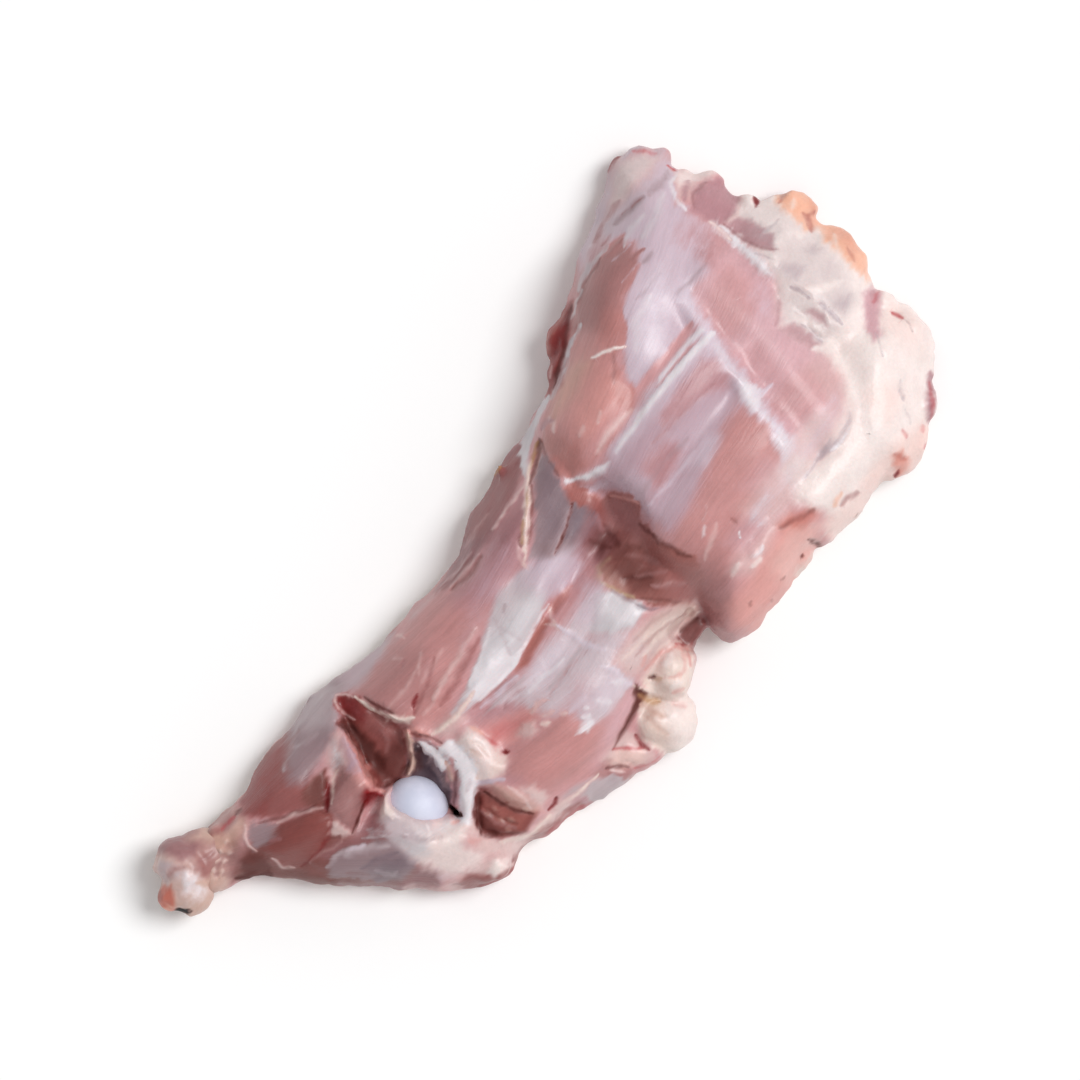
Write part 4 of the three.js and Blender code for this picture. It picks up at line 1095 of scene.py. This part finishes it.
patch("shrimp", 0.5, 2, [(-109, 8), (-104, 10), (-107, 0), (-109, -4), (-110, 2)])
# Opened elbow: flesh of the pockets and painted shade in them, painted shadow in the joint, the collar of the
# ball, lips and ligaments
patch("terracotta", 0.8, 1.3, [
    (-94, 25), (-98, 17), (-103, 8), (-107, -1), (-104, -4), (-100, 5), (-97, 14), (-94, 22),
], 0.6)
patch("brick", 1.0, 1.5, POCKET_BY_SHANK)
patch("rust", 0.8, 4, [(-87, 22), (-82, 22), (-81, 8), (-85, 5), (-91, 8), (-90, 16)])
# Painted shade at the bottom of the pocket by the shank and down its left wall
patch("umber", 0.75, 4, [(-98, 5), (-88, 4), (-84, 1), (-90, -6), (-98, -7), (-103, -3)])
patch("pit", 0.6, 2.5, [
    (-95.5, 28), (-92.5, 22), (-92.5, 12), (-94, 3), (-99, 1), (-99, 8), (-97, 15), (-95.5, 22),
])
patch("wine", 0.85, 3, [(-91, 32), (-88, 35), (-85, 34), (-83, 28), (-84, 22), (-88, 20), (-90, 25)])
patch("brick", 1.0, 1.5, POCKET_BY_ARM)
patch("terracotta", 0.7, 2.5, [(-86, -43), (-79, -39), (-78, -50), (-75, -58), (-80, -60), (-84, -52)])
# Painted shade in the left end of the pocket by the arm
patch("umber", 0.6, 2.5, [(-92, -48), (-87, -41), (-84, -46), (-87, -54), (-89, -54)])
patch("shrimp", 0.6, 2, [(-77, -39), (-72, -42), (-69, -50), (-70, -60), (-74, -57), (-76, -48)])
patch("tan", 0.5, 2, [
    (-75, -37), (-71, -41), (-68, -49), (-66, -58), (-68, -62), (-72, -60), (-76, -50),
], 0.5, 3)
patch("blush", 1.0, 2, [(-67, -49), (-62, -53), (-61, -60), (-67, -61)], 0.5, 3)
patch("ivory", 0.6, 2, [
    (-101, -7.5), (-107, -6), (-113, -12), (-113, -20), (-109, -30), (-102, -37), (-94, -37), (-96, -32),
    (-100, -27), (-104, -19), (-105.5, -12),
])
patch("silver", 0.5, 2.5, [
    (-107, -9), (-112, -12), (-114, -20), (-110, -30), (-103, -38), (-96, -42), (-90, -38), (-94, -33),
    (-101, -31), (-107, -22),
])
patch("shade", 1.0, 1.5, JOINT)
patch("slate", 0.6, 2.5, [(-86, -14), (-81, -8), (-81, -17), (-87, -28), (-89, -26)])
patch("umber", 0.5, 2, [(-92, -8), (-84, -3), (-82, -7), (-86, -12), (-91, -11)])
patch("snow", 1.1, 1.2, [
    (-80.4, -3), (-76.5, -5), (-76.5, -14), (-79, -20), (-82.4, -19), (-81.4, -11),
], 0.4)
patch("snow", 0.95, 2, [
    (-77, -11), (-71, -12), (-69, -20), (-72, -30), (-79, -35), (-86, -39), (-93, -43), (-95, -38),
    (-87, -32), (-81, -26), (-77, -20),
], 0.6, 3)
patch("chalk", 0.6, 2.5, [
    (-114, -8), (-109, -8), (-107, -14), (-106, -20), (-109, -28), (-116, -22), (-116, -14),
], 0.3)
patch("ash", 0.75, 3, [(-116, -12), (-111, -13), (-109, -20), (-109, -27), (-113, -30), (-118, -22)])
patch("ash", 0.4, 2, [(-109, -14), (-106, -14), (-103, -22), (-100, -28), (-103, -31), (-108, -24)])
patch("cream", 0.6, 1.8, [(-111, -8), (-107.5, -8.5), (-107.5, -13), (-109.5, -15), (-111.5, -12)])
patch("ivory", 0.7, 3, [(-105, -38), (-99, -37), (-94, -41), (-98, -44), (-104, -43)])
patch("rose", 0.5, 3, [(-101, -45), (-95, -45), (-94, -50), (-99, -51)])
# Painted shade down the left wall of the pocket, and along its lower edge over the ball
stroke("umber", 0.6, 4.5, [(-92.5, 27), (-94, 18), (-96, 9), (-97.5, 1)], -1.0)
stroke("umber", 0.5, 3, [(-97, 8), (-100, 0), (-98, -4)], -1.0)
stroke("umber", 0.8, 2.4, [(-104, -4), (-97, -7), (-90, -6.5)], -1.0)
stroke("umber", 0.3, 3, [(-89.5, 29), (-89.5, 24)], -0.6)
stroke("shrimp", 0.6, 1.9, [(-96.5, 22), (-100, 13), (-103.5, 5), (-106, -1)], 0.3)
stroke("blush", 0.8, 1.2, [(-90, 23), (-91, 29), (-89, 34), (-87, 35.5), (-84, 33), (-82, 28)], 0.8)
stroke("clay", 0.5, 2.2, [(-86, 12), (-88, 6), (-92, 4)], 0.5)
stroke("cream", 1.1, 1.4, [(-82, 29), (-81.5, 21), (-80, 14), (-77, 8), (-73, 4.5)], 1.0)
stroke("umber", 0.6, 1.2, [(-79.8, 26), (-79.2, 18), (-77, 11.5)], -1.0)
patch("cream", 0.9, 1.2, [(-81, 13), (-79.5, 9), (-75, 4), (-73, 4.5), (-76, 8.5), (-79, 14)], 0.4)
stroke("tan", 1.2, 2.2, [(-94, -9.5), (-88, -7), (-83, -2.5), (-79, 3.5)], 4.0)
stroke("shrimp", 0.8, 2, [(-80, 4), (-76, 1), (-75, -5)], 0.6)
stroke("brick", 0.8, 2.2, [(-78.5, 1), (-77, -3)], -0.4)
stroke("heather", 0.7, 1.6, [(-78.4, -3), (-76.8, -8), (-76.4, -12)])
# A line of painted shade beside the white strip
stroke("umber", 0.6, 1.3, [(-76.6, -2), (-75.4, -6), (-73.5, -11.5)], -0.8)
stroke("tan", 0.9, 2.4, [(-79, -17.5), (-80.5, -21), (-83, -24.5)], 0.6)
# A band of painted shadow below the tan tissue
stroke("plum", 0.6, 2, [(-78, -23.5), (-84, -27), (-90, -32)], -0.4)
stroke("umber", 0.35, 1.3, [(-78, -23.5), (-84, -27), (-90, -32)], -0.4)
stroke("ash", 0.5, 2.4, [(-78, -30), (-82, -32)])
# Painted shade in the slit below the joint
stroke("pit", 1.3, 1.5, [(-92, -31), (-92, -37.5)], -3.0)
stroke("umber", 0.8, 1.5, [(-78, -38), (-77, -47), (-75.5, -53), (-72, -60)])
stroke("umber", 0.8, 2.8, [(-91.5, -48), (-87, -41.5), (-80, -37)], -0.4)
stroke("umber", 0.4, 1.6, [(-91, -50), (-87, -56), (-82, -60)], -0.6)
stroke("clay", 0.6, 1.8, [(-85, -42), (-85, -50), (-81, -58)], 0.8)
stroke("umber", 0.35, 1.6, [(-83, -42), (-82.5, -50), (-79, -57)], -0.5)
for x, y in [(-84.5, -44), (-81, -45), (-83, -50), (-80, -53), (-84, -55), (-74, -46), (-73, -55)]:
    stroke("tan", 0.35, 1.9, [(x, y), (x + 0.8, y - 2)], 0.8)
stroke("wine", 0.9, 1.4, [(-67, -64), (-63, -64), (-60, -63)], -1.0)
stroke("blush", 0.8, 1.5, [(-70, -44), (-69, -52), (-71, -58)], 0.4)
stroke("cream", 0.8, 2.2, [(-90, -57), (-80, -65), (-68, -66)], 0.5)
# Shank muscles: the creases between them, darkened with painted shade, strands and blood
stroke("umber", 0.6, 1.5, [(-149, 26), (-143, 21.5), (-137, 17.8), (-128, 12)], -1.2)
stroke("blush", 0.75, 1.7, [(-144, 20.2), (-136, 16.4), (-131, 13), (-126.5, 9.6)], 0.5)
# A thin painted highlight along the left of the grey patch
stroke("blush", 0.9, 1.5, [(-153, 29.5), (-157, 27), (-159, 23), (-158.5, 19)], 0.7)
stroke("blush", 0.8, 1.3, [(-157, 12), (-156.5, 6), (-153.5, 2)], 0.5)
stroke("heather", 0.5, 1.6, [(-152, 18), (-148, 15)], 0.3)
stroke("wine", 0.45, 1.4, [(-151, 0.5), (-142, -1.5), (-134, -0.5), (-128, 3)], -0.9)
stroke("blush", 0.3, 1.3, [(-148, -1), (-140, -3), (-132, -6)], 0.3)
patch("rust", 0.6, 2, [(-164, 38.5), (-154, 38), (-151, 35), (-157, 34), (-163, 35)])
stroke("blood", 0.7, 2.2, [(-161, 36), (-157, 35.5), (-153.5, 35.4)], -0.4)
stroke("umber", 0.6, 1.3, [(-153, 35.8), (-149, 35.2)], -0.5)
stroke("rust", 0.5, 2, [(-166, 38), (-162, 37)], -0.3)
# Painted shade in the hollows at the neck of the knuckle
stroke("clay", 0.6, 1.6, [(-180, 30), (-175, 33), (-170, 32)], -0.7)
stroke("clay", 0.5, 1.5, [(-178, 26), (-172, 28), (-166, 26)], -0.6)
patch("tan", 0.8, 2, [(-190, 26), (-180, 28), (-174, 24), (-175, 20), (-184, 16), (-190, 18)])
# More painted shade in a hollow of the neck
stroke("umber", 0.4, 1.3, [(-175, 31), (-171, 33), (-169, 30)], -0.6)
# Lumps of fat: a stroke of painted shade just below each, and a pale cream top
for x, y in [(-177, 27), (-174.5, 24), (-173.5, 29.5), (-171, 26.5), (-169, 30), (-167, 27), (-164.5, 31)]:
    stroke("clay", 0.4, 2.4, [(x - 1, y - 1.2), (x + 1, y - 1.4)], -0.5)
    stroke("cream", 0.45, 1.9, [(x, y), (x + 1, y + 0.6)], 0.9)
stroke("shrimp", 0.5, 2, [(-174, 34), (-169, 34)], 0.4)
stroke("russet", 1.3, 5, [(-171, 16.5), (-167, 13), (-162, 8), (-156, 0)])
# Painted shade on the side of the shank just under the knuckle
patch("umber", 0.6, 2, [(-170, 17), (-166, 21.5), (-160, 21), (-158, 14), (-162, 8)])
stroke("umber", 0.9, 3, [(-173, 18), (-168, 13), (-163, 8)])
stroke("russet", 1.2, 5, [(-160, 6), (-153, -7), (-146, -18), (-138, -30)])
stroke("plum", 0.8, 4, [(-147, -17), (-137, -31), (-127, -44)])
stroke("blush", 0.6, 4, [(-131, -39), (-127, -44), (-122, -51)])
stroke("wine", 1.0, 1.8, [(-126.5, 7.4), (-122, 10.8), (-117.5, 14.4)], -1.0)
stroke("cream", 0.7, 1.4, [(-122.5, 7.6), (-119, 10.4), (-115, 13.4), (-110, 14.6)], 0.5)
stroke("umber", 0.9, 1.4, [(-127, -7), (-119, -4.5), (-112, -2.5)], -1.4)
patch("wine", 0.85, 1.8, [
    (-115.5, -3.4), (-112, 0), (-108.5, 0.8), (-107, -2), (-107.5, -6), (-110, -5.6), (-113, -4.8),
], -0.4)
stroke("wine", 1.0, 2.4, [(-113, -2.6), (-109, -1.8), (-107.5, -4.5)], -0.3)
stroke("blood", 0.6, 1.6, [(-110, 0), (-107, -2), (-107, -6)], -0.2)
stroke("shrimp", 0.8, 1.5, [(-106, 4), (-107.5, -1), (-104.5, -6)], 0.5)
stroke("ivory", 0.5, 1.6, [(-109.5, -9), (-110, -13), (-111, -16)], 0.4)
stroke("ash", 0.5, 3, [(-122, -11), (-118, -17)], -0.3)
stroke("ash", 0.7, 1.6, [(-126, -11), (-121, -16), (-117, -20.5)], 0.5)
stroke("ash", 0.6, 2.2, [(-145, -8), (-138, -8), (-130, -12)], 0.3)
stroke("ash", 0.7, 3, [(-136, -11), (-129, -14), (-121, -22)], 0.3)
stroke("pearl", 0.5, 1.8, [(-134, -10), (-127, -14)], 0.2)
stroke("ash", 0.4, 1.6, [(-133, -24), (-130, -31), (-127, -32)], 0.3)
stroke("dusk", 0.5, 2, [(-136, -19), (-128, -22), (-121, -27)], -0.3)
stroke("plum", 0.4, 2.4, [(-143, -14), (-138, -20), (-133, -28)], -0.3)
stroke("rust", 0.9, 4, [(-92, -66.5), (-80, -68), (-68, -70.5), (-56, -73)])
stroke("blood", 0.5, 2.2, [(-82, -69), (-68, -71.5), (-56, -73.5)])
stroke("brick", 1.1, 3.2, [(-112, -62), (-104, -67), (-94, -69.5), (-86, -67)])
stroke("blood", 0.4, 1.7, [(-110, -63), (-102, -67.5), (-94, -69)])
stroke("slate", 0.35, 2.4, [(-114, -24), (-110, -31), (-104, -37)], -0.3)
stroke("shrimp", 0.6, 2.4, [(-97, -36), (-94, -38)], -0.2)
stroke("shrimp", 0.5, 2.6, [(-98, -47), (-94, -50)], -0.2)
stroke("ash", 0.35, 1.8, [(-117, 36), (-111, 33), (-104, 31)], 0.2)
stroke("ash", 0.35, 2, [(-126, 32), (-116, 36), (-104, 41)], 0.2)
stroke("plum", 0.4, 2.6, [(-122, 34), (-114, 37), (-108, 38)], -0.2)
stroke("brick", 0.7, 1.8, [(-133, 41.5), (-122, 42.5), (-110, 42.5)])

# Underside and lower flanks: pale fat with muscle showing through
under = 1 - np.clip((skin.normals[:, 2] + 0.15) * 3, 0, 1)
blotches = skin.ripple((44, 22, 20), 83) + 0.6 * skin.ripple((14, 9, 9), 88)
pale = under * np.clip(0.55 + 1.1 * blotches, 0, 1)
skin.flesh += (np.array(FLESH["cream"][0]) - skin.flesh) * pale[:, None]
skin.fibre *= 1 - 0.8 * pale
# Blush and grey drift through the fat
fatty = np.clip(1 - 1.4 * skin.fibre, 0, 1) * skin.upper
drift = skin.ripple((11, 9, 9), 101) + 0.6 * skin.ripple((4, 3.5, 4), 107)
for finish, share in (("blush", drift - 0.15), ("chalk", -0.25 - drift)):
    tint = 0.4 * fatty * np.clip(share, 0, 1)
    skin.flesh += (np.array(FLESH[finish][0]) - skin.flesh) * tint[:, None]
# A thin haze of film lies here and there over bare muscle
haze = np.clip(0.5 * skin.ripple((26, 9, 9), 71) + 0.4 * skin.ripple((12, 4, 5), 77), 0, 1)
haze *= np.clip(2 * skin.normals[:, 2] - 0.6, 0, 1)
skin.cover += (1 - skin.cover) * skin.fibre * 0.45 * haze

# Fat lies in low lumps, muscle in fine ridges along its fibres, and the sides in small folds
LUMP_HEIGHT = 0.75
RIDGE_HEIGHT = 0.2
SETTLING_ROUNDS = 3
MOST_TRIANGLES = 192000
lumps = skin.ripple((9, 9, 9), 40) + 0.7 * skin.ripple((4, 4, 4), 51)
ridges = skin.ripple((30, 2.6, 6), 60)
skin.swell += LUMP_HEIGHT * (1 - skin.fibre) * lumps + RIDGE_HEIGHT * skin.fibre * ridges * skin.upper
sides = 1 - np.abs(skin.normals[:, 2])
skin.swell += sides * (0.7 * skin.ripple((7, 7, 9), 91) + 0.4 * skin.ripple((3, 3, 5), 95))
skin.settle(SETTLING_ROUNDS)
skin.keep(meat_grain)
skin.thin(MOST_TRIANGLES)


class Value:
    """A number on its way through a material: working with it adds Math nodes."""

    def __init__(self, finish, socket):
        self.finish = finish
        self.socket = socket

    def math(self, operation, first, second):
        return self.finish.node("Math", {0: first, 1: second}, operation=operation)

    def __add__(self, other):
        return self.math("ADD", self, other)

    def __sub__(self, other):
        return self.math("SUBTRACT", self, other)

    def __rsub__(self, other):
        return self.math("SUBTRACT", other, self)

    def __mul__(self, other):
        return self.math("MULTIPLY", self, other)

    __radd__ = __add__
    __rmul__ = __mul__


class Finish:
    """A material whose nodes are made one by one."""

    def __init__(self, name):
        self.material = bpy.data.materials.new(name)
        self.material.use_nodes = True
        self.tree = self.material.node_tree

    def feed(self, socket, value):
        """Links or sets one socket."""
        if isinstance(value, Value):
            self.tree.links.new(value.socket, socket)
        else:
            socket.default_value = value

    def node(self, kind, sockets, out=0, **settings):
        """Adds a node: its settings first, then what its sockets take."""
        made = self.tree.nodes.new("ShaderNode" + kind)
        for name, setting in settings.items():
            setattr(made, name, setting)
        for key, value in sockets.items():
            self.feed(made.inputs[key], value)
        return Value(self, made.outputs[out])

    def stored(self, name, out):
        """What was painted on the points of the mesh under a name."""
        return self.node("Attribute", {}, out=out, attribute_name=name)

    def place(self):
        return self.node("TexCoord", {}, out="Object")

    def grains(self, place, size, detail):
        """Noise whose grains measure size in the units of place."""
        scaled = self.node("VectorMath", {0: place, 1: [1 / s for s in size]}, operation="MULTIPLY")
        return self.node("TexNoise", {"Vector": scaled, "Scale": 1.0, "Detail": detail})

    def bump(self, strength, distance, height):
        return self.node("Bump", {"Strength": strength, "Distance": distance, "Height": height})

    def blend(self, share, first, second):
        """Mix of two colours."""
        return self.node("Mix", {0: share, 6: first, 7: second}, out=2, data_type="RGBA")

    def scaled(self, colour, by):
        return self.node("VectorMath", {0: colour, "Scale": by}, operation="SCALE")

    def ramp(self, value, low, high):
        return self.node("MapRange", {0: value, 1: low, 2: high}, interpolation_type="SMOOTHSTEP")

    def dress(self, piece, sockets):
        """Feeds the surface, and gives the material to a piece."""
        surface = self.tree.nodes["Principled BSDF"]
        for name, value in sockets.items():
            self.feed(surface.inputs[name], value)
        piece.data.materials.append(self.material)


def dress_in_flesh(piece, name):
    """Moist raw meat: painted flesh, streaked along its fibres, under a film that frays along them too."""
    finish = Finish(name)
    place = finish.place()
    grain = finish.stored("grain", "Vector")
    cover = finish.stored("film", "Alpha")
    fibre = finish.stored("fibre", "Fac")
    wet = finish.stored("wet", "Fac")
    fine = finish.grains(grain, (14, 0.7, 3), 3.0) - 0.5
    broad = finish.grains(grain, (40, 3.0, 12), 2.0) - 0.5
    mottle = finish.grains(place, (11 * MM,) * 3, 4.0) - 0.5
    speck = finish.grains(place, (1.6 * MM,) * 3, 3.0) - 0.5
    light = 1 + fibre * (fine * 0.26 + broad * 0.26) + mottle * 0.22 + speck * 0.15
    flesh = finish.scaled(finish.stored("flesh", "Color"), light)
    film = finish.scaled(finish.stored("film", "Color"), 1 + fine * 0.16 + broad * 0.2)
    frayed = cover + cover * (1 - cover) * (fine * 1.5 + broad * 2.2 + mottle * 1.2)
    veiled = finish.ramp(frayed, 0.12, 0.88)
    height = fibre * fine * 0.5 + (1 - fibre) * (mottle * 1.2 + speck * 0.5) + veiled * 0.3
    finish.dress(piece, {
        "Base Color": finish.blend(veiled, flesh, film),
        "Roughness": 0.85 - finish.ramp(wet, 0.05, 0.4) * 0.35 - wet * 0.14 + mottle * 0.18 + fine * 0.1,
        "Coat Weight": wet * 0.34,
        "Coat Roughness": 0.2,
        "Normal": finish.bump(0.7, 0.7 * MM, height),
        "Specular IOR Level": 0.4,
        "Subsurface Weight": 0.1,
        "Subsurface Radius": (1.0, 0.5, 0.4),
        "Subsurface Scale": 2 * MM,
    })


dress_in_flesh(meat, "moist_meat")
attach(meat, "root")
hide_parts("meat")

# Elbow head
# The end of the arm bone in the opened elbow: a smooth egg of bluish-white cartilage, set in its socket, made
# as one fine ball a little aside from the middle of the solid.
BALL_RADII = (12.5, 13.6, 12.9)
BALL_ASIDE = Vector((-2.1, -1.9, 0))
BALL_TURN = 8
low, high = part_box("elbow_head")
shape = bmesh.new()
set_lump(shape, (low + high) / 2 / MM + BALL_ASIDE, BALL_RADII, BALL_TURN, subdivisions=6)
ball = piece_from(shape, "elbow_ball")
GREY_BLUE = (0.60, 0.62, 0.75, 1)
PALE_BLUE = (0.69, 0.70, 0.82, 1)
cartilage = Finish("cartilage")
place = cartilage.place()
cloud = cartilage.grains(place, (9 * MM,) * 3, 4.0)
fine = cartilage.grains(place, (1.5 * MM,) * 3, 2.0)
cartilage.dress(ball, {
    "Base Color": cartilage.blend(cartilage.ramp(cloud, 0.3, 0.75), GREY_BLUE, PALE_BLUE),
    "Roughness": 0.5 + cloud * 0.14,
    "Normal": cartilage.bump(0.12, 0.3 * MM, cloud + fine * 0.2),
    "Coat Weight": 0.06,
    "Coat Roughness": 0.35,
    "Subsurface Weight": 0.2,
    "Subsurface Radius": (1.0, 0.9, 0.9),
    "Subsurface Scale": 2 * MM,
})
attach(ball, "root")
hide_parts("elbow_head")

# Shank knuckle
# The bare lower end of the shank: a two-lobed bone head, beige, with grey-white cartilage on its condyle,
# shreds of mauve meat on its upper side and a red patch at its tip. It is made and painted as the meat is.
TIP_OF_BONE = [((-199.5, 34, 14), (2.6, 4, 6), 0)]
BONE_VOXEL = 0.7 * MM
BONE_ROUNDS = 16
knuckle = skin_over("shank_knuckle", "knuckle_bone", TIP_OF_BONE, BONE_VOXEL, BONE_ROUNDS)
bone = Skin(knuckle, "tan")
# Notches and tip of its outline: reach, place, and how far it is drawn
NOTCHES = [
    (8, (-197, 43), (2.8, -2.6)),
    (7, (-189, 51), (0.8, -1.6)),
    (6, (-201, 34), (-0.8, 0)),
    (5, (-200.5, 26.5), (1.8, 0.8)),
]
for reach, place, by in NOTCHES:
    bone.push(reach, place, by)
bone.fray(0.8, 0.8)
patch = bone.patch
stroke = bone.stroke
patch("blush", 0.5, 5, [(-200, 42), (-190, 50), (-180, 50), (-176, 40), (-182, 28), (-196, 30)])
patch("ash", 0.75, 4, [(-194, 44), (-188, 49), (-184, 44), (-184, 36), (-194, 38)])
patch("plum", 0.85, 2.5, [
    (-190, 56), (-178, 54), (-166, 48), (-168, 38), (-177, 37), (-182, 40), (-183.5, 46),
], 0.5, 5)
patch("clay", 0.7, 3, [(-183, 36), (-172, 39), (-164, 36), (-166, 24), (-180, 22)])
patch("snow", 0.5, 4, [(-197, 27), (-193, 34), (-184, 37), (-181, 32), (-183, 24), (-191, 20)], 0.5, 5)
patch("ember", 0.8, 1.6, [(-205, 28), (-204, 39), (-196, 40), (-192.5, 37), (-197, 31), (-200, 29)], 0.4)
stroke("pit", 1.3, 1.9, [(-199.6, 29), (-198, 26.5), (-195.8, 23.5)], -0.2)
stroke("apricot", 0.6, 3, [(-203, 33), (-200, 31)])
stroke("brick", 0.5, 2.6, [(-202, 37.5), (-198, 39)])
stroke("plum", 0.5, 3, [(-192, 40), (-187, 41), (-183, 38)], -0.4)
stroke("clay", 0.5, 1.8, [(-178, 35), (-174, 33), (-170, 33)], -0.5)
stroke("tan", 0.8, 3.4, [(-185, 29), (-181, 26), (-178, 27)], 0.3)
stroke("tan", 0.6, 2.4, [(-196, 24), (-190, 21), (-184, 21)])
stroke("snow", 0.3, 2.6, [(-190, 31), (-185, 35)], 0.3)
patch("tan", 0.85, 3, [(-174, 45), (-164, 43), (-158, 38), (-160, 33), (-168, 36)])
patch("rust", 0.45, 2, [(-180, 33), (-174, 35.5), (-172, 32), (-176, 28), (-181, 28)])
bone.swell += 0.3 * bone.ripple((6, 6, 6), 7) + 0.15 * bone.ripple((2.5, 2.5, 2.5), 9)
bone.settle(2)
# Bone has no fibres, so its grains come out about as long as wide
BONE_GRAIN = (4.5, 0.25, 1)
bone.keep(bone.points * BONE_GRAIN)
dress_in_flesh(knuckle, "knuckle_bone")
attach(knuckle, "root")
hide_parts("shank_knuckle")

# Stage
# A plain pale floor just below the meat, under soft studio light, seen from straight above as in the
# photograph.
FLOOR_SIZE = 6
FLOOR_DROP = 0.3 * MM
shape = bmesh.new()
below = Matrix.Translation((0, 0, -FLOOR_DROP))
bmesh.ops.create_grid(shape, x_segments=2, y_segments=2, size=FLOOR_SIZE / 2, matrix=below)
floor = piece_from(shape, "floor")
Finish("pale_floor").dress(floor, {"Base Color": (0.95, 0.95, 0.95, 1), "Roughness": 0.9})

SKY_STRENGTH = 0.53
world = bpy.data.worlds.new("studio")
world.use_nodes = True
sky = world.node_tree.nodes["Background"]
sky.inputs["Color"].default_value = (1, 1, 1, 1)
sky.inputs["Strength"].default_value = SKY_STRENGTH
bpy.context.scene.world = world
LIGHT_FROM = Vector((0.8, -0.45, 1.4))
LIGHT_STRENGTH = 2.05
LIGHT_SPREAD = 28
lamp = bpy.data.lights.new("window", "SUN")
lamp.energy = LIGHT_STRENGTH
lamp.angle = math.radians(LIGHT_SPREAD)
window = add_object("window", lamp)
window.rotation_euler = LIGHT_FROM.to_track_quat("Z", "Y").to_euler()

FRAME_WIDTH = 453.6 * MM
AIM = Vector((17.8, 11.8, 20)) * MM
LENS = 400
SENSOR = 36
TURN = -50
camera = add_object("camera", bpy.data.cameras.new("camera"))
camera.data.lens = LENS
camera.data.sensor_width = SENSOR
camera.location = AIM + Vector((0, 0, FRAME_WIDTH * LENS / SENSOR))
camera.rotation_euler = (0, 0, math.radians(TURN))
bpy.context.scene.camera = camera
bpy.context.scene.view_settings.view_transform = "Standard"
